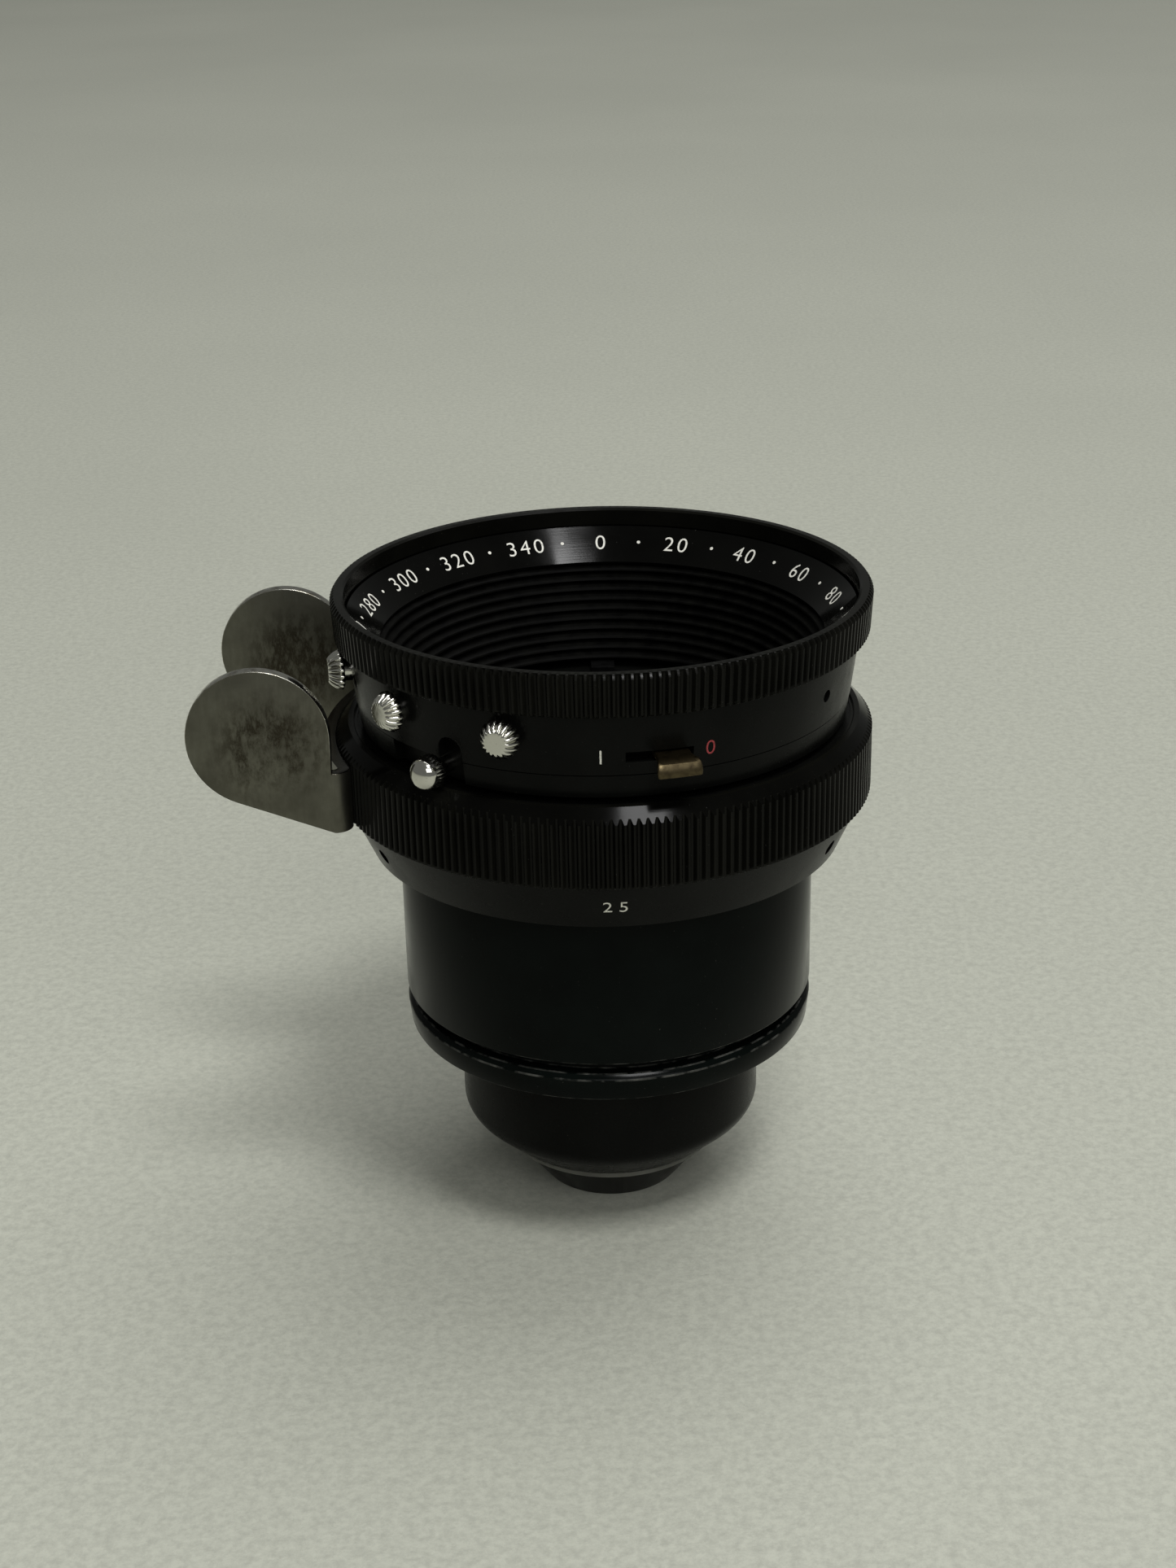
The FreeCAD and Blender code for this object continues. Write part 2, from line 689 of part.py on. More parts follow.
# ---- barrel: everything that slides along the axis for focusing -------------------------------------
def make_barrel():
    shell = turned("shell", [
        (barrel_inner, iris_floor),
        (barrel_inner - seat_step, iris_floor),
        (barrel_inner - seat_step, barrel_low),
        (barrel_radius, barrel_low),
        (barrel_radius, barrel_top),
        (barrel_inner + flange_width, barrel_top),
        (barrel_inner + flange_width, barrel_top - flange_height),
        (barrel_inner, barrel_top - flange_height),
    ])
    sides = (key_depth + PAST, key_width + 2.0 * run_gap, key_length + focus_travel + 4.0 * rest_gap)
    slots = [block(f"key_slot{index}", sides, key_face - run_gap, azimuth,
                   key_low - focus_travel - 2.0 * rest_gap) for index, azimuth in enumerate(KEYS)]
    node("barrel_tube", cut("barrel_tube", shell, slots))

    housing = turned("housing", [
        (barrel_radius, floor_low),
        (step_radius, floor_low),
        (step_radius, housing_low),
        (thread_radius, housing_low),
        (thread_radius, band_low),
        (band_radius, band_low),
        (band_radius + band_draft, band_top),
        (tube_radius, band_top),
        (tube_radius, tube_top),
        (tube_bore, tube_top),
        (tube_bore, band_low + rest_gap),
        (step_radius, band_low + rest_gap),
        (step_radius, barrel_top),
        (barrel_radius, barrel_top),
    ])
    relief = sector("index_relief", tube_radius, band_radius + PAST, band_low - PAST, band_top + PAST,
                    relief_azimuth, relief_sweep)
    level = band_low + index_level
    way = rod("index_way", index_neck, tube_bore - PAST, band_radius + PAST, index_azimuth, level)
    window = sector("arm_window", tube_bore - PAST, tube_radius + PAST, arm_low - rest_gap,
                    arm_top + rest_gap, arm_azimuth, arm_sweep)
    node("front_housing", cut("front_housing", housing, [relief, way, window]))

    head_low = index_face - index_height
    neck = rod("index_shank", index_neck, tube_bore + rest_gap, head_low + rest_gap, index_azimuth, level)
    head = rod("index_head", index_radius, head_low, index_face - index_dome, index_azimuth, level)
    crown_radius = (index_radius * index_radius + index_dome * index_dome) / (2.0 * index_dome)
    ball = doc.addObject("Part::Sphere", "index_ball")
    ball.setExpression("Radius", formula(crown_radius))
    place(ball, polar(index_face - crown_radius, index_azimuth, level))
    cap = rod("index_cap", index_radius, head_low, index_face + PAST, index_azimuth, level)
    node("index_stud", fuse("index_stud", [neck, head, common("index_crown", [ball, cap])]))

    tube_and_taper = turned("rear_barrel", [
        (rear_radius - rear_wall, barrel_low + spigot_length),
        (barrel_inner - seat_step, barrel_low + spigot_length),
        (barrel_inner - seat_step, barrel_low),
        (rear_radius, barrel_low),
        (rear_radius, rear_low),
        (taper_radius, rear_low - taper_height),
        (tail_bore, rear_low - taper_height),
        (tail_bore, rear_low - taper_height + tail_seat),
        (rear_radius - rear_wall, rear_low + group_rise),
    ])
    node("rear_barrel", tube_and_taper)


def make_front():
    funnel_low = bar_top + 2.0 * rest_gap
    funnel_top = face_low - rest_gap
    pitch = (funnel_top - funnel_low) / float(RIB_COUNT)
    points = [
        (tube_bore, funnel_top),
        (tube_bore, arm_top + rest_gap),
        (tube_bore - baffle_wall, arm_top + rest_gap),
        (tube_bore - baffle_wall, jog_top + rest_gap),
        (well_inner - rest_gap, jog_top + rest_gap),
        (well_inner - rest_gap, funnel_low),
    ]
    for index in range(RIB_COUNT):
        height = funnel_low + pitch * float(index)
        radius = face_inner - funnel_slope * (funnel_top - height)
        points.append((radius, height))
        points.append((radius + rib_depth + funnel_slope * pitch, height + rib_share * pitch))
    points.append((face_inner, funnel_top))
    node("front_baffle", turned("baffle", points))
    face_outer = face_inner + face_width
    node("name_ring", turned("name_face", [
        (face_inner, face_low),
        (tube_bore, face_low),
        (tube_bore, tube_top),
        (tube_radius, tube_top),
        (face_outer, tube_top + face_outer - tube_radius),
        (face_outer, face_low + face_width),
    ]))

    bore = cell_radius - cell_wall
    web_radius = iris_opening + end_gap
    cell = turned("cell", [
        (web_radius, cell_low),
        (cell_radius, cell_low),
        (cell_radius, barrel_top - flange_height),
        (barrel_inner + flange_width, barrel_top - flange_height),
        (barrel_inner + flange_width, barrel_top),
        (bore, barrel_top),
        (bore, cell_low + cell_web),
        (web_radius, cell_low + cell_web),
    ])
    slot = sector("finger_slot", finger_inner - rest_gap, finger_outer + rest_gap,
                  barrel_top - flange_height - PAST, barrel_top + PAST, arm_azimuth, arm_sweep)
    node("front_cell", cut("front_cell", cell, [slot]))

    third_low = cell_low + cell_web
    third_top = third_low + third_rim
    second_low = third_top + spacer_height
    second_top = second_low + second_rim
    front_top = barrel_top - front_ring_height
    front_low = front_top - front_rim_height
    ring_inner = bore - spacer_wall
    glass("third_element", bore, third_low, third_top, ("convex", front_curve), ("hollow", hollow_curve))
    node("inner_spacer", tube("spacer_in", ring_inner, bore, third_top, second_low))
    glass("second_element", bore, second_low, second_top, ("convex", front_curve), ("hollow", hollow_curve))
    node("outer_spacer", tube("spacer_out", ring_inner, bore, second_top, front_low))
    glass("front_element", bore, front_low, front_top, ("convex", front_curve), ("hollow", hollow_curve))
    node("front_retaining_ring", tube("front_retainer", ring_inner, bore, front_top, barrel_top))


def make_rear():
    group_radius = rear_radius - rear_wall
    bore = group_radius - group_wall
    low = rear_low + group_rise
    top = barrel_low + spigot_length
    node("rear_group_cell", turned("group_cell", [
        (tail_bore, low),
        (group_radius, low),
        (group_radius, top),
        (bore, top),
        (bore, low + group_web),
        (tail_bore, low + group_web),
    ]))
    sixth_low = low + group_web
    sixth_top = sixth_low + sixth_rim
    fifth_low = sixth_top + group_gap
    fifth_top = fifth_low + fifth_rim
    fourth_top = fifth_top + fourth_rim
    ring_inner = bore - spacer_wall
    glass("sixth_element", bore, sixth_low, sixth_top, ("convex", group_curve))
    node("rear_spacer", tube("spacer_rear", ring_inner, bore, sixth_top, fifth_low))
    glass("fifth_element", bore, fifth_low, fifth_top, ("hollow", cement_curve))
    glass("fourth_element", bore, fifth_top, fourth_top, ("convex", group_curve), ("convex", cement_curve))
    ring_top_level = fourth_top + group_ring_height
    node("rear_retaining_ring", tube("rear_retainer", ring_inner, bore, fourth_top, ring_top_level))

    shelf = rear_low - taper_height
    bottom = shelf - tail_height
    glass_low = bottom + tail_lip
    node("tail_cell", turned("tail", [
        (tail_opening, bottom),
        (tail_end_radius, bottom),
        (tail_top_radius, shelf),
        (tail_bore, shelf),
        (tail_bore, shelf + tail_seat),
        (tail_glass, shelf + tail_seat),
        (tail_glass, glass_low),
        (tail_opening, glass_low),
    ]))
    glass_top = glass_low + tail_rim
    glass("rear_element", tail_glass, glass_low, glass_top, ("convex", tail_curve))
    node("tail_retaining_ring", tube("tail_retainer", tail_glass - spacer_wall, tail_glass, glass_top,
                                     glass_top + tail_ring_height))


# ---- iris: a fixed housing, blades on pivots and a cam ring over them ---------------------------------
def drive_pin_path(ring_angle):
    """Where a blade's drive pin stands in the cam ring's own frame, at an angle of the ring from rest."""
    opened = iris_ratio.value * (ring_angle + aperture_range.value)
    arm = math.radians(drive_start.value + opened)
    across = pivot_circle.value + drive_arm.value * math.cos(arm)
    along = drive_arm.value * math.sin(arm)
    spot = FreeCAD.Vector(across, along, 0)
    back = FreeCAD.Rotation(FreeCAD.Vector(0, 0, 1), -ring_angle)
    return back.multVec(spot)


def cam_slot_tool():
    """One slanting slot, as wide as the drive pin and its gap, cut from a point either side of the path."""
    half = drive_pin.value + cam_gap.value
    steps = 8
    little = 0.1    # a small turn ahead, which gives the path's direction
    reach = aperture_range.value + slot_spare.value
    angles = [-reach + 2.0 * reach * step / steps for step in range(steps + 1)]
    left = []
    right = []
    for angle in angles:
        here = drive_pin_path(angle)
        ahead = drive_pin_path(angle + little) - here
        side = FreeCAD.Vector(-ahead.y, ahead.x, 0).normalize() * half
        left.append(here + side)
        right.append(here - side)
    edges = []
    for points in (left, list(reversed(right))):
        curve = Part.BSplineCurve()
        curve.interpolate(points)
        edges.append(curve.toShape())
    ends = []
    far_end = (left[-1], right[-1], angles[-1], 1.0)
    near_end = (right[0], left[0], angles[0], -1.0)
    for start, finish, angle, sign in (far_end, near_end):
        here = drive_pin_path(angle)
        ahead = (drive_pin_path(angle + little) - here).normalize() * half * sign
        ends.append(Part.Arc(start, here + ahead, finish).toShape())
    wire = Part.Wire([edges[0], ends[0], edges[1], ends[1]])
    face = Part.Face(wire)
    face.translate(FreeCAD.Vector(0, 0, cam_low.value - PAST))
    return face.extrude(FreeCAD.Vector(0, 0, cam_height.value + 2.0 * PAST))


def make_iris():
    turn = 360.0 / BLADE_COUNT
    azimuths = [turn * index for index in range(BLADE_COUNT)]
    blank = turned("iris_blank", [
        (iris_opening, iris_floor),
        (barrel_inner, iris_floor),
        (barrel_inner, cam_low - run_gap),
        (barrel_inner - iris_wall, cam_low - run_gap),
        (barrel_inner - iris_wall, iris_floor + iris_floor_height),
        (iris_opening, iris_floor + iris_floor_height),
    ])
    sockets = []
    for index, azimuth in enumerate(azimuths):
        socket = cylinder(f"socket{index}", pivot_pin + run_gap, iris_floor_height + 2.0 * PAST)
        sockets.append(place(socket, polar(pivot_circle, azimuth, iris_floor - PAST)))
    node("iris_housing", cut("iris_housing", blank, sockets))

    rest_turn = blade_turn / 2.0
    for index, azimuth in enumerate(azimuths):
        level = blade_low + blade_step * float(index)
        drive = (pivot_circle + drive_arm * cosine(drive_start), drive_arm * sine(drive_start))
        leaf = sector(f"leaf{index}", iris_opening, blade_outer, level, level + blade_thickness,
                      blade_sweep / 2.0, blade_sweep)
        ear = cylinder(f"ear{index}", pivot_ear, blade_thickness)
        tab = cylinder(f"tab{index}", drive_ear, blade_thickness)
        neck = block(f"neck{index}", (pivot_circle - blade_outer + PAST, 2.0 * pivot_ear, blade_thickness),
                     blade_outer - PAST, 0.0, level)
        bridge = block(f"bridge{index}", (drive[0] - blade_outer + PAST, 2.0 * drive_ear, blade_thickness),
                       blade_outer - PAST, arctangent(drive[1] / drive[0]), level)
        low = iris_floor + rest_gap
        pivot = cylinder(f"pivot{index}", pivot_pin, level - low + blade_thickness)
        driver = cylinder(f"driver{index}", drive_pin, cam_top - rest_gap - level)
        place(ear, (pivot_circle, 0.0, level))
        place(tab, (drive[0], drive[1], level))
        place(pivot, (pivot_circle, 0.0, low))
        place(driver, (drive[0], drive[1], level))
        blade = fuse(f"iris_blade_{index + 1}", [leaf, ear, tab, neck, bridge, pivot, driver])
        swung = azimuth + rest_turn
        across = pivot_circle * cosine(azimuth) - pivot_circle * cosine(swung)
        along = pivot_circle * sine(azimuth) - pivot_circle * sine(swung)
        node(f"iris_blade_{index + 1}", place(blade, (across, along, 0.0), swung))

    disc_part = tube("cam_blank", iris_opening + end_gap, barrel_inner - run_gap, cam_low, cam_top)
    notch_sides = (barrel_inner - finger_inner + PAST, arm_width + 2.0 * run_gap, cam_height + 2.0 * PAST)
    notch = block("cam_notch", notch_sides, finger_inner - run_gap, arm_azimuth, cam_low - PAST)
    slots = doc.addObject("Part::Feature", "cam_slots")
    tools = []
    for azimuth in azimuths:
        tool = cam_slot_tool()
        tool.rotate(FreeCAD.Vector(0, 0, 0), FreeCAD.Vector(0, 0, 1), azimuth)
        tools.append(tool)
    slots.Shape = Part.makeCompound(tools)
    node("iris_cam_ring", cut("iris_cam_ring", disc_part, [notch, slots]))


# ---- aperture ring: the cone, its knurled rim, its studs and its arm to the iris -----------------------
def make_aperture():
    cone = turned("ring_blank", [
        (ring_bore, ring_low),
        (ring_low_radius, ring_low),
        (ring_high_radius, ring_top),
        (spigot_radius, ring_top),
        (spigot_radius, spigot_top),
        (ring_bore, tube_top - 2.0 * rest_gap),
    ])
    stud_height_up = ring_low + stud_level
    screw_height_up = ring_low + ring_screw_level
    outside = ring_high_radius + PAST
    middle = lever_azimuth - lever_range / 2.0
    sweep = lever_sweep + lever_range + lever_slack
    plate_low = ring_low + lever_level
    slot_low = plate_low - rest_gap
    foot_inner = ring_bore + run_gap
    foot_outer = foot_inner + foot_depth
    foot_low = slot_low + slot_height / 2.0 - foot_height / 2.0
    foot_top = foot_low + foot_height
    arm_middle = arm_low + arm_head / 2.0
    inside = ring_bore - PAST
    notch_sides = (outside - inside, 2.0 * notch_radius, notch_level + PAST)
    tools = [
        sector("lever_slot", inside, outside, slot_low, slot_low + slot_height, middle, sweep),
        sector("lever_pocket", inside, foot_outer + run_gap, foot_low - rest_gap, foot_top + rest_gap,
               middle, sweep),
        rod("notch_round", notch_radius, inside, outside, notch_azimuth, ring_low + notch_level),
        block("notch_foot", notch_sides, inside, notch_azimuth, ring_low - PAST),
    ]
    tools += holes("stud_hole", STUDS, stud_neck, inside, outside, stud_height_up)
    tools += holes("ring_hole", RING_SCREWS, screw_radius, inside, outside, screw_height_up)
    tools += holes("arm_hole", [arm_azimuth], screw_radius, inside, outside, arm_middle)
    node("aperture_ring", cut("aperture_ring", cone, tools))
    node("front_rim", turned("rim", [
        (spigot_radius, ring_top),
        (rim_low_radius, ring_top),
        (rim_radius, rim_top),
        (rim_bore, rim_top),
        (rim_bore, face_low + face_width + rest_gap),
        (rim_bore + rim_relief, face_low + face_width + rest_gap),
        (rim_bore + rim_relief, spigot_top + rest_gap),
        (spigot_radius, spigot_top + rest_gap),
    ]))
    recess = ring_low_radius - ring_recess
    grub_screws("aperture_ring_screws", RING_SCREWS, screw_radius, ring_bore + rest_gap, recess,
                screw_height_up)
    studs = []
    for index, azimuth in enumerate(STUDS):
        head_low = stud_face - stud_height
        neck = rod(f"stud_neck{index}", stud_neck, ring_bore + rest_gap, head_low + rest_gap, azimuth,
                   stud_height_up)
        head = rod(f"stud_head{index}", stud_radius, head_low, stud_face, azimuth, stud_height_up)
        studs.append(fuse(f"stud{index}", [neck, head]))
    node("aperture_studs", group("stud_set", studs))

    lever = turned("lever", [
        (foot_inner, foot_low),
        (foot_outer, foot_low),
        (foot_outer, plate_low),
        (lever_reach - lever_plate, plate_low),
        (lever_reach - lever_plate, plate_low - lever_lip),
        (lever_reach, plate_low - lever_lip),
        (lever_reach, plate_low + lever_plate),
        (foot_outer, plate_low + lever_plate),
        (foot_outer, foot_top),
        (foot_inner, foot_top),
    ], lever_sweep)
    node("click_lever", spin(lever, lever_azimuth))

    head_end = ring_bore - run_gap
    bent = plate("arm", [
        (head_end, arm_low),
        (head_end, arm_top),
        (strip_inner, arm_top),
        (strip_inner, jog_top),
        (well_inner, jog_top),
        (well_inner, bar_top),
        (finger_inner, bar_top),
        (finger_inner, cam_low + rest_gap),
        (finger_outer, cam_low + rest_gap),
        (finger_outer, bar_low),
        (well_outer, bar_low),
        (well_outer, jog_low),
        (strip_outer, jog_low),
        (strip_outer, arm_low),
    ], arm_width)
    spin(bent, arm_azimuth)
    tapped = holes("arm_tap", [arm_azimuth], screw_radius, strip_inner + rest_gap, outside, arm_middle)
    node("iris_drive_arm", cut("iris_drive_arm", bent, tapped))
    grub_screws("drive_arm_screw", [arm_azimuth], screw_radius, strip_inner + rest_gap, recess, arm_middle)


def check_document():
    """Stops if any object failed to build or any piece isn't a closed, valid solid."""
    doc.recompute()
    broken = [thing.Name for thing in doc.Objects if {"Invalid", "Error"} & set(thing.State)]
    if broken:
        raise RuntimeError(f"failed to build: {broken}")
    for name, piece in nodes.items():
        shape = piece.Shape
        if shape.isNull() or not shape.isValid() or not shape.Solids:
            raise RuntimeError(f"{name} isn't a valid solid")


def write_nodes():
    os.makedirs("parts", exist_ok=True)
    for name, piece in nodes.items():
        piece.Shape.exportStep(f"parts/{name}.step")
        solids = piece.Shape.Solids
        print(f"{name}: {len(solids)} solid(s), {piece.Shape.Volume:.2f} mm3")


make_mount()
make_focus()
make_barrel()
make_front()
make_rear()
make_iris()
make_aperture()
check_document()
write_nodes()
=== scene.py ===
import json
import math

import bmesh
import bpy
from mathutils import Matrix, Vector


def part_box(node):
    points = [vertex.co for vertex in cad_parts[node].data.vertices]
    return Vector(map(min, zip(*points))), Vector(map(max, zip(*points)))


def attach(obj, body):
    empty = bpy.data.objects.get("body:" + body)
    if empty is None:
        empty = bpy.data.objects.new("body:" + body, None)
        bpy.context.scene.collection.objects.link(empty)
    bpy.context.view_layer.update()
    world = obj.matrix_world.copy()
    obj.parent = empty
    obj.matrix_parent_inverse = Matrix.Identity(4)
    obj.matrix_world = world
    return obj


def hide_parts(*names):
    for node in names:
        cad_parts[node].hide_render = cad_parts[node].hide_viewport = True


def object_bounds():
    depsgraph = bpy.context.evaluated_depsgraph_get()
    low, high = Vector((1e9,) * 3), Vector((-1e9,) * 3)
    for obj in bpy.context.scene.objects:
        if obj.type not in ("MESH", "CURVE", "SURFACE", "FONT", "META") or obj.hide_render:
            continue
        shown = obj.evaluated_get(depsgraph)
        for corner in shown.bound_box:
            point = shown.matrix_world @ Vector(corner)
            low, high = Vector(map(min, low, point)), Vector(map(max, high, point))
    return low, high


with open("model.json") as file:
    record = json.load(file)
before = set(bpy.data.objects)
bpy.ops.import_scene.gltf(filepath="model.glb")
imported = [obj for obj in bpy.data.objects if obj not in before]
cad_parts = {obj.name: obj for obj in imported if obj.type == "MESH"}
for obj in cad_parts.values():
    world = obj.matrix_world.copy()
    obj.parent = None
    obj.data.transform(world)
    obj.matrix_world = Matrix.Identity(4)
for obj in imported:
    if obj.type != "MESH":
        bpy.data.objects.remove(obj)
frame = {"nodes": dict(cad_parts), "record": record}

cad_low, cad_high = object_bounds()
MM = 0.001
FULL_TURN = 2.0 * math.pi
FACING = -90.0                 # azimuth of the side that faces the camera, in degrees
RUN_GAP = 0.05                 # radial gap of a turning or sliding fit, in millimetres


def measure(node):
    """Outer radius, lowest and highest level of a round CAD node, in millimetres."""
    low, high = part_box(node)
    return high.y / MM, low.z / MM, high.z / MM


GRIP_LOW, GRIP_HIGH = (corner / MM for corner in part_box("finger_grip"))
EAR_RADIUS = 6.7
STRAP_HEIGHT = 6.0


# ---- finishes ------------------------------------------------------------------------------------
# Noise scales count the patches in a metre. Colours are linear.
ENDLESS = 1000.0                             # far longer than any piece, in metres
TURNED_GRAIN = (40.0, 40.0, 9000.0)          # lines round the lens axis
EVEN_GRAIN = (3000.0, 3000.0, 3000.0)
DUST_COLOR = (0.16, 0.16, 0.14)
BARE_COLOR = (0.30, 0.30, 0.27)              # aluminium where the black is rubbed off
SCUFF_CENTRE = (GRIP_LOW.x + EAR_RADIUS + 1.2, GRIP_HIGH.z - EAR_RADIUS - 1.0)
SCUFF_REACH = 7.5
# Painted shade: the grips' polished edge is painted dark below this level and brightens over the fade above
# it, in millimetres.
EDGE_SHADE_BELOW = GRIP_LOW.z + STRAP_HEIGHT + 0.8
EDGE_SHADE_FADE = 2.5


class Finish:
    """A material and short calls for the nodes that the finishes share."""

    def __init__(self, name, color, metallic=0.0, roughness=0.4, ior=1.5):
        self.material = bpy.data.materials.new(name)
        self.material.use_nodes = True
        self.tree = self.material.node_tree
        self.shader = self.tree.nodes["Principled BSDF"]
        self.set("Base Color", (*color, 1.0))
        self.set("Metallic", metallic)
        self.set("Roughness", roughness)
        self.set("IOR", ior)
        self.place = self.add("ShaderNodeTexCoord").outputs["Object"]

    def set(self, socket, value):
        self.shader.inputs[socket].default_value = value

    def add(self, kind, **settings):
        node = self.tree.nodes.new(kind)
        for key, value in settings.items():
            setattr(node, key, value)
        return node

    def link(self, output, target):
        self.tree.links.new(output, target)

    def stretched(self, scale, turn=(0.0, 0.0, 0.0)):
        node = self.add("ShaderNodeMapping")
        node.inputs["Scale"].default_value = scale
        node.inputs["Rotation"].default_value = [math.radians(angle) for angle in turn]
        self.link(self.place, node.inputs["Vector"])
        return node.outputs["Vector"]

    def noise(self, scale=1.0, detail=4.0, where=None, rough=0.55):
        node = self.add("ShaderNodeTexNoise")
        node.inputs["Scale"].default_value = scale
        node.inputs["Detail"].default_value = detail
        node.inputs["Roughness"].default_value = rough
        self.link(where or self.place, node.inputs["Vector"])
        return node.outputs["Fac"]

    def span(self, value, low, high, start=0.0, end=1.0):
        """Maps low to high onto start to end, and holds it there outside."""
        node = self.add("ShaderNodeMapRange")
        for socket, number in zip(("From Min", "From Max", "To Min", "To Max"), (low, high, start, end)):
            node.inputs[socket].default_value = number
        self.link(value, node.inputs["Value"])
        return node.outputs["Result"]

    def times(self, first, second):
        node = self.add("ShaderNodeMath", operation="MULTIPLY")
        self.link(first, node.inputs[0])
        self.link(second, node.inputs[1])
        return node.outputs["Value"]

    def blend(self, share, first, second):
        """Blends two colours, or an earlier blend and a colour."""
        node = self.add("ShaderNodeMix", data_type="RGBA")
        self.link(share, node.inputs["Factor"])
        for socket, color in ((node.inputs[6], first), (node.inputs[7], second)):
            if isinstance(color, tuple):
                socket.default_value = (*color, 1.0)
            else:
                self.link(color, socket)
        return node.outputs[2]

    def near(self, centre, reach):
        """1 on a line along Y through centre, an (x, z) in millimetres, and 0 from reach onwards."""
        node = self.add("ShaderNodeMapping", vector_type="TEXTURE")
        node.inputs["Location"].default_value = (centre[0] * MM, 0.0, centre[1] * MM)
        node.inputs["Scale"].default_value = (reach * MM, ENDLESS, reach * MM)
        self.link(self.place, node.inputs["Vector"])
        ball = self.add("ShaderNodeTexGradient", gradient_type="SPHERICAL")
        self.link(node.outputs["Vector"], ball.inputs["Vector"])
        return ball.outputs["Fac"]

    def level(self):
        """The height above the mount seat, in metres."""
        node = self.add("ShaderNodeSeparateXYZ")
        self.link(self.place, node.inputs["Vector"])
        return node.outputs["Z"]

    def relief(self, height, strength, distance):
        node = self.add("ShaderNodeBump")
        node.inputs["Strength"].default_value = strength
        node.inputs["Distance"].default_value = distance
        self.link(height, node.inputs["Height"])
        self.link(node.outputs["Normal"], self.shader.inputs["Normal"])

    def feed(self, output, socket):
        self.link(output, self.shader.inputs[socket])


def black_anodised(name, tone=(0.0022, 0.0023, 0.0020), shine=(0.22, 0.32), gloss=0.075, wear=0.22,
                   grain=TURNED_GRAIN):
    """Satin black on turned aluminium: faint turning lines, a little dust, wear on the edges."""
    finish = Finish(name, tone, ior=1.45)
    finish.set("Specular IOR Level", gloss)
    lighter = tuple(1.8 * part for part in tone)
    color = finish.blend(finish.span(finish.noise(160.0), 0.35, 0.7), tone, lighter)
    dust = finish.span(finish.noise(5200.0, detail=2.0), 0.74, 0.80, 0.0, 0.35)
    color = finish.blend(dust, color, DUST_COLOR)
    edges = finish.add("ShaderNodeAttribute", attribute_name="edge").outputs["Fac"]
    patches = finish.span(finish.noise(700.0), 0.42, 0.66, 0.0, wear)
    color = finish.blend(finish.times(edges, patches), color, BARE_COLOR)
    finish.feed(color, "Base Color")
    finish.feed(finish.span(finish.noise(420.0), 0.3, 0.7, *shine), "Roughness")
    finish.relief(finish.noise(detail=3.0, where=finish.stretched(grain)), 0.10, 0.02 * MM)
    return finish.material


def matt_black():
    finish = Finish("matt_black_paint", (0.0020, 0.0020, 0.0020), roughness=0.7, ior=1.35)
    finish.set("Specular IOR Level", 0.04)
    cloud = finish.noise(900.0)
    color = finish.blend(finish.span(cloud, 0.4, 0.8), (0.0015, 0.0015, 0.0015), (0.004, 0.004, 0.004))
    finish.feed(color, "Base Color")
    finish.feed(finish.span(cloud, 0.3, 0.7, 0.55, 0.8), "Roughness")
    finish.relief(finish.noise(6000.0), 0.25, 0.02 * MM)
    return finish.material


def rib_black():
    """Matt black with a faint sheen on the ribs."""
    finish = Finish("rib_matt_black", (0.003, 0.003, 0.0026), roughness=0.45, ior=1.4)
    finish.set("Specular IOR Level", 0.045)
    cloud = finish.noise(700.0)
    color = finish.blend(finish.span(cloud, 0.35, 0.7), (0.0010, 0.0010, 0.0009), (0.0030, 0.0030, 0.0025))
    finish.feed(color, "Base Color")
    finish.feed(finish.span(cloud, 0.3, 0.7, 0.36, 0.55), "Roughness")
    finish.relief(finish.noise(5000.0), 0.2, 0.02 * MM)
    return finish.material


def bright_chrome():
    chrome = (0.60, 0.59, 0.54)
    finish = Finish("bright_chrome", chrome, metallic=1.0, roughness=0.08)
    pits = finish.span(finish.noise(5200.0, detail=2.0), 0.68, 0.74, 0.0, 0.7)
    finish.feed(finish.blend(pits, chrome, (0.20, 0.18, 0.14)), "Base Color")
    finish.feed(finish.span(finish.noise(1400.0), 0.35, 0.75, 0.07, 0.20), "Roughness")
    finish.relief(finish.noise(3000.0), 0.10, 0.01 * MM)
    return finish.material


def grip_steel():
    """Satin steel sheet: faint brushing, clouded with tarnish, brown scuffs where fingers rub."""
    steel = (0.128, 0.125, 0.100)
    finish = Finish("grip_steel", steel, metallic=1.0, roughness=0.42)
    brushed = finish.stretched((2600.0, 900.0, 420.0), (0.0, 28.0, 0.0))
    streaked = finish.stretched((1500.0, 900.0, 620.0), (0.0, 40.0, 0.0))
    brush = finish.noise(where=brushed)
    cloud = finish.noise(210.0, detail=6.0, rough=0.62)
    speck = finish.noise(detail=6.0, where=streaked, rough=0.66)
    stain = finish.noise(88.0, detail=7.0, rough=0.72)
    color = finish.blend(finish.span(brush, 0.30, 0.72), steel, (0.152, 0.149, 0.122))
    color = finish.blend(finish.span(cloud, 0.36, 0.66, 0.0, 0.7), color, (0.080, 0.077, 0.060))
    rubbed = finish.span(finish.near(SCUFF_CENTRE, SCUFF_REACH), 0.12, 0.62)
    scuffed = finish.times(finish.span(stain, 0.40, 0.50), finish.span(speck, 0.40, 0.58, 0.2, 1.0))
    scuffed = finish.times(scuffed, rubbed)
    color = finish.blend(scuffed, color, (0.028, 0.023, 0.015))
    bright = finish.times(rubbed, finish.span(speck, 0.56, 0.72, 0.0, 0.5))
    color = finish.blend(bright, color, (0.17, 0.165, 0.135))
    finish.feed(color, "Base Color")
    finish.feed(finish.span(cloud, 0.3, 0.7, 0.34, 0.50), "Roughness")
    finish.relief(speck, 0.18, 0.02 * MM)
    return finish.material


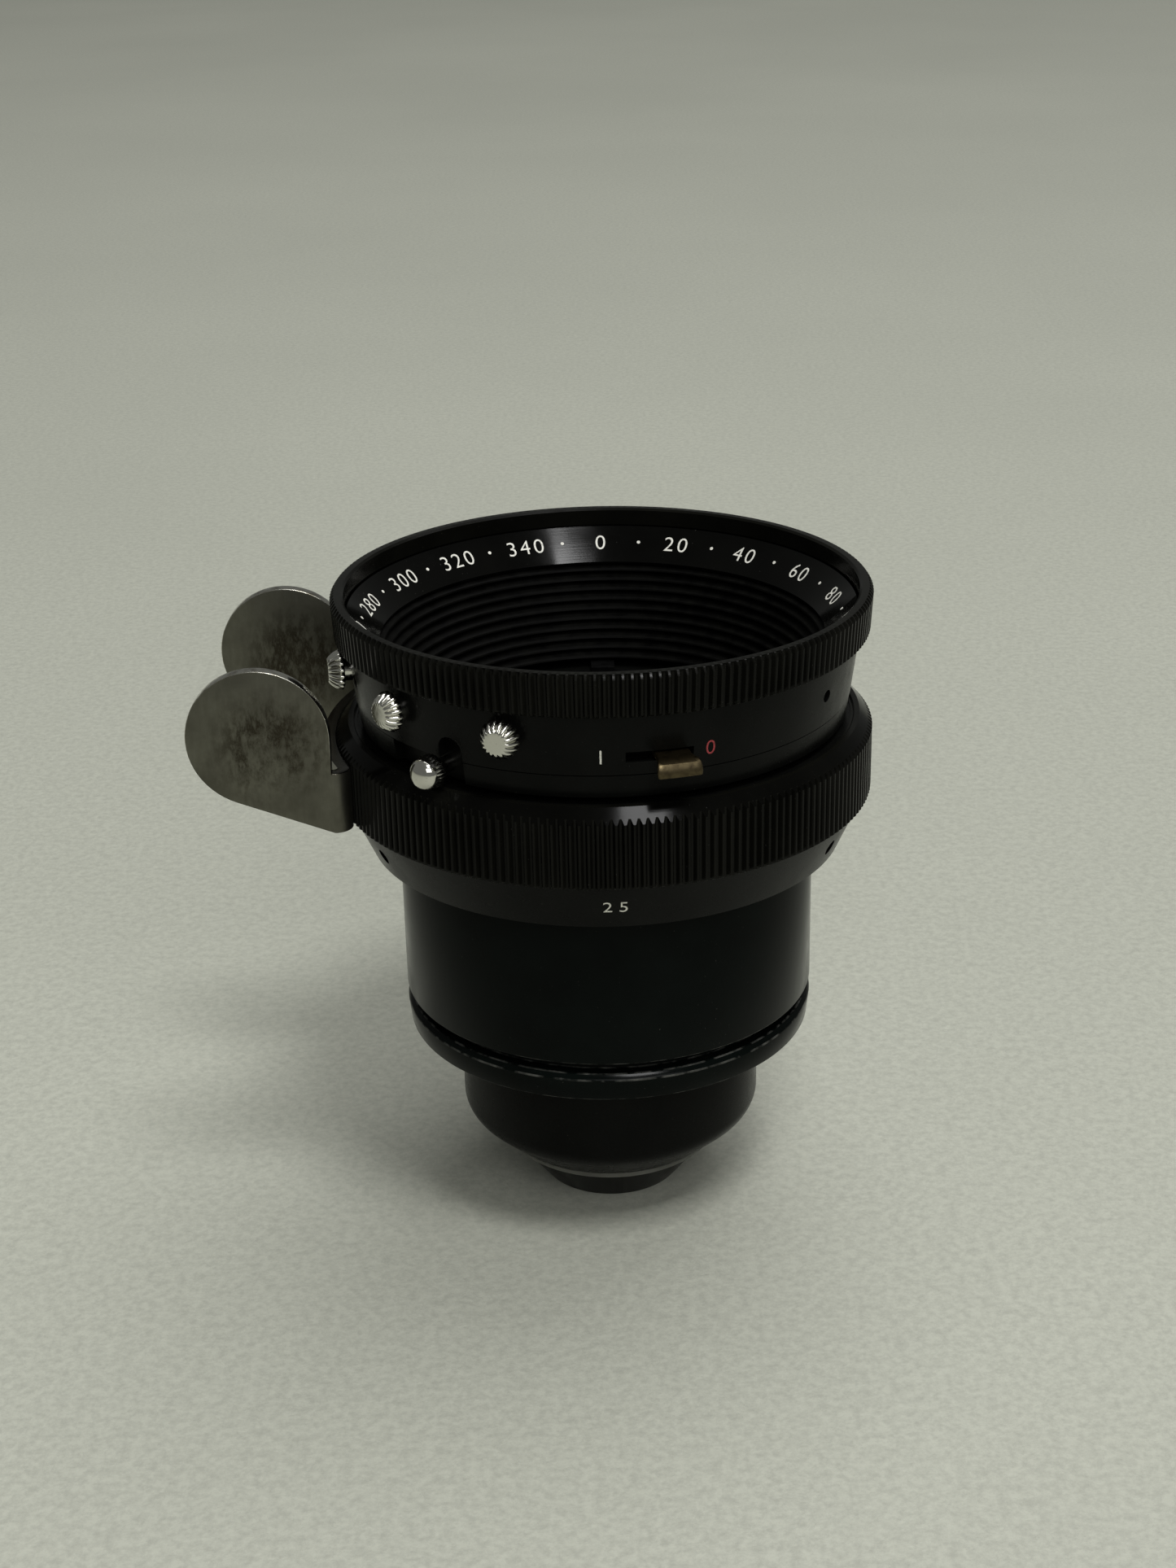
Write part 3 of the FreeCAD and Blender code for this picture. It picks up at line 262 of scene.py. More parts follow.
def polished_steel():
    """The rubbed edge of the grips, bright round the ears, with painted shade that darkens it down by the
    strap.
    """
    finish = Finish("polished_edge", (0.50, 0.49, 0.43), metallic=1.0, roughness=0.18)
    haze = finish.noise(800.0)
    color = finish.blend(finish.span(haze, 0.45, 0.7), (0.56, 0.55, 0.49), (0.16, 0.14, 0.10))
    # Painted shade: the edge is painted dark near the strap and fades to its bright colour higher up.
    above_shade = finish.span(finish.level(), EDGE_SHADE_BELOW * MM, (EDGE_SHADE_BELOW + EDGE_SHADE_FADE) * MM)
    finish.feed(finish.blend(above_shade, (0.045, 0.042, 0.033), color), "Base Color")
    finish.feed(finish.span(haze, 0.3, 0.7, 0.12, 0.28), "Roughness")
    return finish.material


def screw_steel():
    finish = Finish("blackened_screw", (0.05, 0.05, 0.05), metallic=1.0, roughness=0.35)
    haze = finish.noise(2600.0)
    color = finish.blend(finish.span(haze, 0.5, 0.75), (0.035, 0.035, 0.037), (0.16, 0.15, 0.13))
    finish.feed(color, "Base Color")
    finish.feed(finish.span(haze, 0.3, 0.7, 0.28, 0.5), "Roughness")
    return finish.material


def brass(name, clean, dull, shine):
    finish = Finish(name, clean, metallic=1.0, roughness=shine)
    haze = finish.noise(1500.0, detail=6.0)
    finish.feed(finish.blend(finish.span(haze, 0.42, 0.66), clean, dull), "Base Color")
    finish.feed(finish.span(haze, 0.3, 0.7, shine - 0.08, shine + 0.12), "Roughness")
    finish.relief(finish.noise(where=finish.stretched((6000.0, 900.0, 900.0))), 0.12, 0.01 * MM)
    return finish.material


def blued_steel():
    finish = Finish("blued_blade_steel", (0.03, 0.032, 0.04), metallic=1.0, roughness=0.4)
    haze = finish.noise(900.0)
    color = finish.blend(finish.span(haze, 0.4, 0.7), (0.025, 0.027, 0.035), (0.06, 0.065, 0.09))
    finish.feed(color, "Base Color")
    finish.feed(finish.span(haze, 0.3, 0.7, 0.3, 0.5), "Roughness")
    return finish.material


def coated_glass():
    """Glass with a faint violet coat that cuts its reflections, and a little dust."""
    finish = Finish("coated_glass", (0.93, 0.95, 0.97), roughness=0.02, ior=1.52)
    finish.set("Transmission Weight", 1.0)
    finish.set("Specular Tint", (0.26, 0.19, 0.40, 1.0))
    dust = finish.span(finish.noise(3600.0, detail=2.0), 0.74, 0.80, 0.015, 0.35)
    finish.feed(dust, "Roughness")
    return finish.material


def ink(name, color, faded):
    finish = Finish(name, color, roughness=0.6)
    wear = finish.noise(4200.0)
    finish.feed(finish.blend(finish.span(wear, 0.5, 0.72), color, faded), "Base Color")
    finish.feed(finish.span(wear, 0.3, 0.7, 0.5, 0.7), "Roughness")
    return finish.material


BLACK = black_anodised("satin_black_anodised")
TUBE_BLACK = black_anodised("mount_black_anodised", (0.0014, 0.0022, 0.0019), (0.12, 0.20), 0.065)
KNURL_BLACK = black_anodised("knurl_black_anodised", (0.0030, 0.0030, 0.0023), (0.17, 0.26), 0.09,
                             grain=EVEN_GRAIN)
SHOULDER_BLACK = black_anodised("shoulder_black", (0.0016, 0.0016, 0.0013), (0.10, 0.14), 0.055)
RING_BLACK = black_anodised("name_ring_black", (0.0012, 0.0012, 0.0010), (0.09, 0.13), 0.13)
TAIL_BLACK = black_anodised("tail_black_anodised", (0.0010, 0.0008, 0.0006), (0.12, 0.18), 0.018, wear=0.4)
# Painted reflection: the tail cell's top band is painted light grey where the floor's reflection shows.
BAND_REFLECTION_BLACK = black_anodised("band_floor_reflection", (0.085, 0.085, 0.075), (0.30, 0.42), 0.30, wear=0.3)
MATT = matt_black()
CHROME = bright_chrome()
RIB_BLACK = rib_black()
STEEL = grip_steel()
EDGE = polished_steel()
SCREW = screw_steel()
BRASS = brass("satin_brass", (0.60, 0.46, 0.22), (0.40, 0.29, 0.13), 0.32)
WORN_BRASS = brass("worn_brass", (0.115, 0.088, 0.045), (0.050, 0.038, 0.020), 0.36)
# Painted shade: the lever's lip is a darker copy of the lever's brass.
SHADED_LIP_BRASS = brass("lip_brass_painted_shade", (0.085, 0.067, 0.036), (0.045, 0.034, 0.019), 0.42)
BLADE = blued_steel()
GLASS = coated_glass()
WHITE = ink("white_fill", (0.72, 0.71, 0.64), (0.40, 0.40, 0.35))
RED = ink("red_fill", (0.30, 0.030, 0.035), (0.14, 0.02, 0.02))

SLOT_FINISH = {
    "black_anodised": BLACK,
    "matt_black": MATT,
    "bright_chrome": CHROME,
    "grip_steel": STEEL,
    "screw_steel": SCREW,
    "blade_steel": BLADE,
    "brass": BRASS,
    "worn_brass": WORN_BRASS,
    "coated_glass": GLASS,
}


def dress_cad_nodes():
    """Gives every CAD node the finish of its slot, and two of them one of their own."""
    own = {"name_ring": RING_BLACK, "iris_drive_arm": MATT}
    for part in frame["record"]["subparts"]:
        node = frame["nodes"][part["node"]]
        finish = own.get(part["node"], SLOT_FINISH[part["material_slot"]])
        for slot in node.material_slots:
            slot.material = finish


# ---- ways of making a piece ----------------------------------------------------------------------
SAME_POINT = 0.0001             # points nearer than this are one point, in millimetres
LEVEL_ERROR = 0.001             # an edge is level, or round, if its ends differ by less
SOFT_ANGLE = 25.0               # a round edge sharper than this is bevelled, in degrees
TEETH = 200                     # of the knurl on the focus ring and on the front rim
KNURL_COLUMNS = 4               # columns of faces in one tooth and its groove
KNURL_DEPTH = 0.42
KNURL_DROP = 0.05               # how far a groove runs down into the chamfer below it
KNURL_CHAMFER = (0.45, 0.30)    # how far the chamfer below a knurl goes in, and how high it is


def finished(name, shape, body, finish, stands_for=(), crisp=35.0):
    """Turns a bmesh into a piece that rides on a body."""
    mesh = bpy.data.meshes.new(name)
    shape.to_mesh(mesh)
    shape.free()
    mesh.shade_smooth()
    mesh.set_sharp_from_angle(angle=math.radians(crisp))
    piece = bpy.data.objects.new(name, mesh)
    bpy.context.scene.collection.objects.link(piece)
    for material in finish if isinstance(finish, (list, tuple)) else [finish]:
        mesh.materials.append(material)
    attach(piece, body)
    if stands_for:
        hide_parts(*stands_for)
    return piece


def at(radius, azimuth, level):
    """A point from its distance to the lens axis, azimuth in degrees and level, in millimetres."""
    angle = math.radians(azimuth)
    return Vector((radius * math.cos(angle), radius * math.sin(angle), level)) * MM


def rounded(before, corner, after, radius, steps=6):
    """The points of an arc that rounds the corner of an outline."""
    middle = Vector(corner)
    inward = (Vector(before) - middle).normalized()
    onward = (Vector(after) - middle).normalized()
    half = inward.angle(onward) / 2.0
    reach = radius / math.tan(half)
    centre = middle + (inward + onward).normalized() * (radius / math.sin(half))
    start = middle + inward * reach - centre
    finish = middle + onward * reach - centre
    turn = start.angle_signed(finish)
    points = []
    for step in range(steps + 1):
        spoke = start.copy()
        spoke.rotate(Matrix.Rotation(-turn * step / steps, 2))
        points.append(tuple(centre + spoke))
    return points


def lathe(outline, steps, closed=True):
    """Spins an outline of (radius, level) points in millimetres. Each vertex remembers its outline point."""
    shape = bmesh.new()
    point = shape.verts.layers.int.new("point")
    corners = [shape.verts.new((radius * MM, 0.0, level * MM)) for radius, level in outline]
    for index, corner in enumerate(corners):
        corner[point] = index
    edges = [shape.edges.new(pair) for pair in zip(corners, corners[1:])]
    if closed:
        edges.append(shape.edges.new((corners[-1], corners[0])))
    bmesh.ops.spin(shape, geom=corners + edges, cent=(0.0, 0.0, 0.0), axis=(0.0, 0.0, 1.0),
                   dvec=(0.0, 0.0, 0.0), angle=FULL_TURN, steps=steps, use_merge=True)
    bmesh.ops.remove_doubles(shape, verts=shape.verts, dist=SAME_POINT * MM)
    bmesh.ops.recalc_face_normals(shape, faces=shape.faces)
    return shape


def soften(shape, width):
    """Bevels the round edges of a turned shape and marks the bevels as places that wear."""
    edge = shape.faces.layers.float.new("edge")
    limit = math.radians(SOFT_ANGLE)
    rings = []
    for line in shape.edges:
        first, second = (Vector(corner.co[:2]).length for corner in line.verts)
        level = abs(line.verts[0].co.z - line.verts[1].co.z) < LEVEL_ERROR * MM
        round_edge = level and abs(first - second) < LEVEL_ERROR * MM
        if round_edge and line.is_manifold and line.calc_face_angle() > limit:
            rings.append(line)
    bevelled = bmesh.ops.bevel(shape, geom=rings, offset=width * MM, offset_type="OFFSET", segments=2,
                               profile=0.5, affect="EDGES", material=-1, clamp_overlap=True)
    for face in bevelled["faces"]:
        face[edge] = 1.0
    return shape


def knurl(shape, cuts):
    """Cuts straight grooves: in the groove columns each listed outline point moves in and up by its cut."""
    point = shape.verts.layers.int["point"]
    for corner in shape.verts:
        if corner[point] not in cuts:
            continue
        angle = math.atan2(corner.co.y, corner.co.x) % FULL_TURN
        column = round(angle / FULL_TURN * TEETH * KNURL_COLUMNS) % KNURL_COLUMNS
        if column * 2 < KNURL_COLUMNS:
            continue
        depth, rise = cuts[corner[point]]
        radius = Vector(corner.co[:2]).length
        share = (radius - depth * MM) / radius
        corner.co = (corner.co.x * share, corner.co.y * share, corner.co.z + rise * MM)
    return shape


def thicken(piece, gauge, rim_finish=0):
    """Gives a sheet its thickness, half to each side."""
    sheet = piece.modifiers.new("sheet", "SOLIDIFY")
    sheet.thickness = gauge * MM
    sheet.offset = 0.0
    sheet.material_offset_rim = rim_finish


def round_edges(piece, width, sharper_than, finish=-1):
    edges = piece.modifiers.new("rounded_edges", "BEVEL")
    edges.width = width * MM
    edges.segments = 3
    edges.limit_method = "ANGLE"
    edges.angle_limit = math.radians(sharper_than)
    edges.material = finish


# ---- mount and rear --------------------------------------------------------------------------------
SLEEVE_STEPS = 288
TAIL_STEPS = 224
TAIL_SHELF = 2.2                # from the tail cell's top down to the shelf that holds it
TAIL_SEAT = 9.5                 # radius of the tail cell's top, inside the rear barrel


def make_mount_sleeve():
    """The plain sleeve with its rear groove and lip, and inside the focus ring its neck and bore."""
    radius, low, high = measure("mount_sleeve")
    tube, _, _ = measure("barrel_tube")
    _, _, cone_top = measure("index_cone")
    groove_top = -15.95
    lip_top = groove_top - 1.25
    groove = radius - 1.6
    chamfer = 0.5
    draft = 0.25
    end_hole = radius - 5.05
    end_web = low + 1.7
    ledge = radius - 0.5
    ledge_top = 0.3
    cone_seat = radius - 0.9
    neck = tube + 1.6
    bore = tube + RUN_GAP
    land_end = high - 9.8
    relief = tube + 1.0
    outline = [
        (end_hole, low),
        (radius - draft, low),
        (radius, lip_top - chamfer),
        (radius - chamfer, lip_top),
        (groove, lip_top),
        (groove, groove_top),
        (radius, groove_top),
        (radius, 0.0),
        (ledge, 0.0),
        (ledge, ledge_top),
        (cone_seat, ledge_top),
        (cone_seat, cone_top),
        (neck, cone_top),
        (neck, high),
        (bore, high),
        (bore, land_end),
        (relief, land_end),
        (relief, end_web),
        (end_hole, end_web),
    ]
    shape = soften(lathe(outline, SLEEVE_STEPS), 0.11)
    finished("mount_sleeve_turned", shape, "mount", TUBE_BLACK, ["mount_sleeve"])


def make_rear_barrel():
    """The rear barrel: a straight wall that rounds into a taper, and a shelf for the tail cell."""
    radius, _, high = measure("rear_barrel")
    _, _, tail_top = measure("tail_cell")
    shelf = tail_top - TAIL_SHELF
    inner = radius - 1.6
    spigot = radius - 0.3
    spigot_end = high - 7.0
    taper_top = (radius, shelf + 3.5)
    taper_end = (radius - 3.8, shelf)
    taper_round = 2.4
    hollow_end = shelf + 4.3
    outline = [
        (inner, high),
        (spigot, high),
        (spigot, spigot_end),
        (radius, spigot_end),
        *rounded((radius, spigot_end), taper_top, taper_end, taper_round),
        taper_end,
        (TAIL_SEAT, shelf),
        (TAIL_SEAT, tail_top),
        (inner, hollow_end),
    ]
    shape = soften(lathe(outline, SLEEVE_STEPS), 0.10)
    finished("rear_barrel_turned", shape, "barrel", BLACK, ["rear_barrel"])


def make_tail_cell():
    """The rear cell: a band at the top, painted light grey as a painted reflection of the floor, then a cone
    down to the ring that it stands on.
    """
    radius, low, high = measure("tail_cell")
    shelf = high - TAIL_SHELF
    hole = 5.4
    foot = (7.1, low)
    band_low = shelf - 0.8
    cone_top = (radius - 0.5, band_low - 0.1)
    glass = 6.2
    web = low + 1.2
    outline = [
        (hole, low),
        foot,
        *rounded(foot, cone_top, (radius, cone_top[1]), 0.2, 2),
        (radius, band_low),
        (radius, shelf),
        (TAIL_SEAT, shelf),
        (TAIL_SEAT, high),
        (glass, high),
        (glass, web),
        (hole, web),
    ]
    shape = soften(lathe(outline, TAIL_STEPS), 0.08)
    # The band's faces take the light grey of the painted floor reflection.
    for face in shape.faces:
        middle = face.calc_center_median() / MM
        if middle.xy.length > radius - 0.12 and middle.z > band_low - 0.05:
            face.material_index = 1
    finished("tail_cell_turned", shape, "barrel", [TAIL_BLACK, BAND_REFLECTION_BLACK], ["tail_cell"])


# ---- focus ring and grips --------------------------------------------------------------------------
def make_focus_ring():
    """The knurled ring, with a shiny bevelled shoulder above its knurl."""
    radius, low, high = measure("focus_ring")
    nut, _, nut_top = measure("helicoid_nut")
    inset, rise = KNURL_CHAMFER
    bevel = 1.25
    bore = nut + 0.25
    mouth = nut + 0.35
    mouth_depth = 0.1
    nut_stop = nut_top + 0.1
    web = 18.65
    web_top = low + 1.0
    outline = [
        (radius - inset, low),
        (radius, low + rise),
        (radius, high - bevel),
        (radius - bevel, high),
        (mouth, high),
        (bore, high - mouth_depth),
        (bore, nut_stop),
        (nut, nut_stop),
        (nut, web_top),
        (web, web_top),
        (web, low),
    ]
    knurl_low, knurl_high, shoulder = 1, 2, 3
    shape = lathe(outline, TEETH * KNURL_COLUMNS)
    knurl(shape, {knurl_low: (KNURL_DEPTH, -KNURL_DROP), knurl_high: (KNURL_DEPTH, KNURL_DEPTH)})
    point = shape.verts.layers.int["point"]
    for face in shape.faces:
        if {corner[point] for corner in face.verts} == {knurl_high, shoulder}:
            face.material_index = 1
    finished("focus_ring_knurled", shape, "focus", [KNURL_BLACK, SHOULDER_BLACK],
             ["focus_ring"], crisp=28.0)


GRIP_GAUGE = 1.2
GRIP_ROLL = 1.0                 # radius of the rolls between the strap and the ears
ROLL_STEPS = 10
STRAP_STEPS = 28
EAR_STEPS = 44


def spun(shape, geometry, centre, axis, degrees, steps):
    """Spins an open shape about an axis through centre, and hands back its far end."""
    made = bmesh.ops.spin(shape, geom=geometry, cent=Vector(centre) * MM, axis=axis, dvec=(0.0, 0.0, 0.0),
                          angle=math.radians(degrees), steps=steps, use_merge=False)
    return made["geom_last"]


def make_strap(shape, roll_x, half_spread, swing):
    """The strap round the focus ring with a roll at each end, as a sheet with no thickness."""
    roll_y = half_spread - GRIP_ROLL
    levels = (GRIP_LOW.z, GRIP_LOW.z + STRAP_HEIGHT)
    start = [shape.verts.new(Vector((roll_x, -half_spread, level)) * MM) for level in levels]
    rim = start + [shape.edges.new(start)]
    rim = spun(shape, rim, (roll_x, -roll_y, 0.0), (0.0, 0.0, 1.0), 90.0 + swing, ROLL_STEPS)
    rim = spun(shape, rim, (0.0, 0.0, 0.0), (0.0, 0.0, -1.0), 2.0 * swing, STRAP_STEPS)
    spun(shape, rim, (roll_x, roll_y, 0.0), (0.0, 0.0, 1.0), 90.0 + swing, ROLL_STEPS)


def make_ear(shape, roll_x, side_y):
    """One flat ear: a round top, an edge that leans down to the strap and an upright edge beside it."""
    centre = Vector((GRIP_LOW.x + EAR_RADIUS, side_y, GRIP_HIGH.z - EAR_RADIUS))
    lean = 2.0 * math.degrees(math.atan(EAR_RADIUS / (centre.z - GRIP_LOW.z)))
    first = shape.verts.new((centre + Vector((EAR_RADIUS, 0.0, 0.0))) * MM)
    before = set(shape.verts)
    spun(shape, [first], centre, (0.0, -1.0, 0.0), 180.0 + lean, EAR_STEPS)
    arc = [first] + [corner for corner in shape.verts if corner not in before]
    feet = [shape.verts.new(Vector((roll_x, side_y, level)) * MM)
            for level in (GRIP_LOW.z, GRIP_LOW.z + STRAP_HEIGHT)]
    face = shape.faces.new(arc + feet)
    face.normal_update()
    if face.normal.y * side_y < 0.0:
        face.normal_flip()


def make_finger_grip():
    """One bent steel sheet: an ear, a roll, a strap round the ring, a roll and the other ear."""
    ring, _, _ = measure("focus_ring")
    half_spread = GRIP_HIGH.y - GRIP_GAUGE / 2.0
    strap_gap = 0.02
    roll_centre = ring + strap_gap + GRIP_GAUGE / 2.0 + GRIP_ROLL
    roll_y = half_spread - GRIP_ROLL
    roll_x = -math.sqrt(roll_centre ** 2 - roll_y ** 2)
    swing = math.degrees(math.asin(roll_y / roll_centre))
    shape = bmesh.new()
    make_strap(shape, roll_x, half_spread, swing)
    for side in (-1.0, 1.0):
        make_ear(shape, roll_x, side * half_spread)
    bmesh.ops.remove_doubles(shape, verts=shape.verts, dist=0.002 * MM)
    bmesh.ops.recalc_face_normals(shape, faces=shape.faces)
    piece = finished("finger_grip_bent", shape, "focus", [STEEL, EDGE], ["finger_grip"])
    thicken(piece, GRIP_GAUGE, rim_finish=1)
    round_edges(piece, 0.38, 50.0, finish=1)


# ---- baffle and studs ------------------------------------------------------------------------------
RIBS = 10
BAFFLE_STEPS = 240


def make_front_baffle():
    """A hollow cone with a saw of ribs inside, which narrows towards the front element."""
    radius, low, high = measure("front_baffle")
    mouth = 21.4
    slope = 0.5
    flange_end = high - 3.0
    body = radius - 0.8
    body_end = high - 6.4
    tail = 19.9
    pitch = (high - low) / RIBS
    rib = ((0.55, 0.02), (0.06, 0.10), (0.0, 0.22), (0.07, 0.36), (0.62, 0.62 * pitch))
    outline = [(radius, high), (radius, flange_end), (body, flange_end), (body, body_end), (tail, body_end),
               (tail, low)]
    for index in range(RIBS):
        foot = low + index * pitch
        crest = mouth - slope * (high - foot)
        outline += [(crest + back, foot + rise) for back, rise in rib]
    outline.append((mouth, high))
    shape = lathe(outline, BAFFLE_STEPS)
    finished("front_baffle_ribbed", shape, "barrel", RIB_BLACK, ["front_baffle"])


FLUTE_COLUMNS = 6               # columns of faces in one flute
FLUTE_POWER = 1.4               # higher makes the flutes narrower


def stud(name, outline, flutes, bites, azimuth, level, base, body, stands_for):
    """A small turned head that points away from the lens axis. bites is how deep the flutes cut at an
    outline point."""
    shape = lathe(outline, flutes * FLUTE_COLUMNS, closed=False)
    point = shape.verts.layers.int["point"]
    for corner in shape.verts:
        if corner[point] not in bites:
            continue
        angle = math.atan2(corner.co.y, corner.co.x)
        bite = bites[corner[point]] * (1.0 - abs(math.cos(angle * flutes / 2.0))) ** FLUTE_POWER
        radius = Vector(corner.co[:2]).length
        share = (radius - bite * MM) / radius
        corner.co = (corner.co.x * share, corner.co.y * share, corner.co.z)
    bmesh.ops.holes_fill(shape, edges=shape.edges, sides=0)
    place = Matrix.Translation(at(base, azimuth, level)) @ Matrix.Rotation(math.radians(azimuth), 4, "Z")
    lying = Matrix.Rotation(math.radians(90.0), 4, "Y")
    bmesh.ops.transform(shape, matrix=place @ lying, verts=shape.verts)
    bmesh.ops.recalc_face_normals(shape, faces=shape.faces)
    finished(name, shape, body, CHROME, stands_for, crisp=42.0)


def make_aperture_studs():
    """Three fluted heads on short necks, set round the grip's side of the aperture ring."""
    low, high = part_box("aperture_studs")
    level = (low.z + high.z) / 2.0 / MM
    neck = 1.1
    neck_start = 23.1
    face = 26.6
    head = 1.9
    depth = 1.5
    base = face - depth - neck_start
    outline = [
        (neck, 0.0),
        (neck, base),
        (head - 0.25, base),
        (head, base + 0.15),
        (head, base + 0.45),
        (head - 0.22, base + 0.90),
        (head - 0.50, base + 1.25),
        (head - 0.72, base + depth - 0.05),
        (head - 0.90, base + depth),
        (head * 0.3, base + depth),
    ]
    bites = {2: 0.12, 3: 0.30, 4: 0.34, 5: 0.34, 6: 0.30, 7: 0.16}
    for index, azimuth in enumerate((-111.0, -139.5, -168.0)):
        stands_for = ["aperture_studs"] if index == 0 else []
        stud(f"aperture_stud_{index + 1}", outline, 17, bites, azimuth, level, neck_start, "aperture",
             stands_for)


def make_index_stud():
    """The smooth dome with a finely fluted side that marks the fixed index."""
    low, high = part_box("index_stud")
    level = (low.z + high.z) / 2.0 / MM
    azimuth = -128.0
    start = 22.1
    neck = 0.8
    head = 1.6
    head_height = 2.5
    foot = 27.3 - start - head_height
    dome = 1.25
    dome_radius = head - 0.08
    dome_steps = 12
    outline = [(neck, 0.0), (neck, foot), (head - 0.2, foot), (head, foot + 0.2), (head, foot + 1.0),
               (dome_radius, foot + 1.12)]
    for step in range(1, dome_steps):
        angle = math.radians(90.0 * step / dome_steps)
        outline.append((dome_radius * math.cos(angle), foot + head_height - dome + dome * math.sin(angle)))
    stud("index_stud_domed", outline, 26, {2: 0.05, 3: 0.12, 4: 0.12}, azimuth, level, start, "barrel",
         ["index_stud"])


# ---- aperture ring ---------------------------------------------------------------------------------
def make_front_rim():
    """The knurled rim, with a narrow lip in front and a bore for a filter."""
    radius, low, high = measure("front_rim")
    inset, rise = KNURL_CHAMFER
    foot = radius - 0.2
    bore = 24.6
    bore_mouth = 0.2
    seat = bore + 0.25
    face = measure("name_ring")[2] + 0.1
    ledge = measure("aperture_ring")[2] + 0.1
    spigot = 24.15
    outline = [
        (foot - inset, low),
        (foot, low + rise),
        (radius, high - 0.45),
        (radius - 0.28, high - 0.06),
        (radius - 0.40, high),
        (bore + 0.22, high),
        (bore, high - bore_mouth),
        (bore, face),
        (seat, face),
        (seat, ledge),
        (spigot, ledge),
        (spigot, low),
    ]
    knurl_low, knurl_high, lip = 1, 2, 3
    shape = lathe(outline, TEETH * KNURL_COLUMNS)
    cuts = {knurl_low: (KNURL_DEPTH, -KNURL_DROP), knurl_high: (KNURL_DEPTH, 0.18), lip: (0.20, 0.0)}
    knurl(shape, cuts)
    finished("front_rim_knurled", shape, "aperture", KNURL_BLACK, ["front_rim"], crisp=28.0)


def make_click_lever():
    """A bent brass plate that leaves its slot, widens and turns down into a lip, painted a darker brass than
    the plate as painted shade.
    """
    _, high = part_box("click_lever")
    top = high.z / MM - 1.0
    middle = -75.8
    gauge = 0.55
    lip_start = 26.45
    columns = 8
    rows = [                    # distance from the axis, rise, half the width in degrees
        (23.2, 0.0, 3.9),
        (24.1, 0.0, 3.8),
        (25.0, 0.0, 3.65),
        (25.7, 0.0, 3.8),
        (26.2, -0.02, 4.15),
        (26.55, -0.14, 4.3),
        (26.75, -0.42, 4.35),
        (26.80, -0.80, 4.35),
        (26.80, -1.15, 4.25),
    ]
    shape = bmesh.new()
    edges = []
    for radius, rise, half in rows:
        spread = [middle + half * (2.0 * column / columns - 1.0) for column in range(columns + 1)]
        row = [shape.verts.new(at(radius, azimuth, top + rise)) for azimuth in spread]
        edges += [shape.edges.new(pair) for pair in zip(row, row[1:])]
    bmesh.ops.bridge_loops(shape, edges=edges)
    bmesh.ops.recalc_face_normals(shape, faces=shape.faces)
    # The lip's faces take the darker brass of the painted shade.
    for face in shape.faces:
        if face.calc_center_median().xy.length > lip_start * MM:
            face.material_index = 1
    piece = finished("click_lever_bent", shape, "lever", [WORN_BRASS, SHADED_LIP_BRASS],
                     ["click_lever"])
    thicken(piece, gauge)
    round_edges(piece, 0.14, 45.0)


# ---- generic marks ---------------------------------------------------------------------------------
CAP_SHARE = 0.72                # height of a capital as a share of the type size
THINNER = 0.010                 # how far the strokes are drawn in, as a share of the height
INK_DEPTH = 0.012
INK_PROUD = 0.02
LONGEST_EDGE = 0.25


def mark(name, text, height, body, finish, azimuth, radius, level, lean, inward=False, spread=1.25):
    """Lays a number on a cone. lean is the cone's slope from upright, outwards, in degrees."""
    curve = bpy.data.curves.new(name, "FONT")
    curve.body = text
    curve.size = height * MM / CAP_SHARE
    curve.align_x = "CENTER"
    curve.align_y = "CENTER"
    curve.offset = -THINNER * height * MM
    curve.space_character = spread
    curve.extrude = INK_DEPTH * MM
    letters = bpy.data.objects.new(name + "_text", curve)
    bpy.context.scene.collection.objects.link(letters)
    bpy.context.view_layer.update()
    graph = bpy.context.evaluated_depsgraph_get()
    mesh = bpy.data.meshes.new_from_object(letters.evaluated_get(graph))
    bpy.data.objects.remove(letters)
    shape = bmesh.new()
    shape.from_mesh(mesh)
    bpy.data.meshes.remove(mesh)
    long_edges = [line for line in shape.edges if line.calc_length() > LONGEST_EDGE * MM]
    bmesh.ops.subdivide_edges(shape, edges=long_edges, cuts=1)
    slope = math.radians(lean)
    side = -1.0 if inward else 1.0
    for corner in shape.verts:
        across, up, out = corner.co / MM
        lift = side * (out + INK_PROUD)
        turn = math.degrees(side * across / radius)
        reach = radius + up * math.sin(slope) + lift * math.cos(slope)
        corner.co = at(reach, azimuth + turn, level + up * math.cos(slope) - lift * math.sin(slope))
    bmesh.ops.recalc_face_normals(shape, faces=shape.faces)
    finished(name, shape, body, finish)


def make_focal_number():
    radius, low, high = measure("index_cone")
    foot = 23.3
    lean = math.degrees(math.atan((radius - foot) / (high - low)))
    middle = (low + high) / 2.0 + 0.1
    mark("focal_number", "25", 1.4, "mount", WHITE, FACING + 1.8, (foot + radius) / 2.0 + 0.05, middle, lean,
         spread=1.5)


def make_lever_marks():
    """A 1 and a red 0 beside the click lever, on the coned wall of the aperture ring."""
    low = measure("aperture_ring")[1]
    foot = 23.95
    flare = 0.8 / 5.9
    lean = math.degrees(math.atan(flare))
    mark("on_mark", "1", 1.45, "aperture", WHITE, FACING - 0.8, foot + 1.75 * flare, low + 1.75, lean)
    mark("off_mark", "0", 1.45, "aperture", RED, FACING + 22.8, foot + 1.8 * flare, low + 1.8, lean)


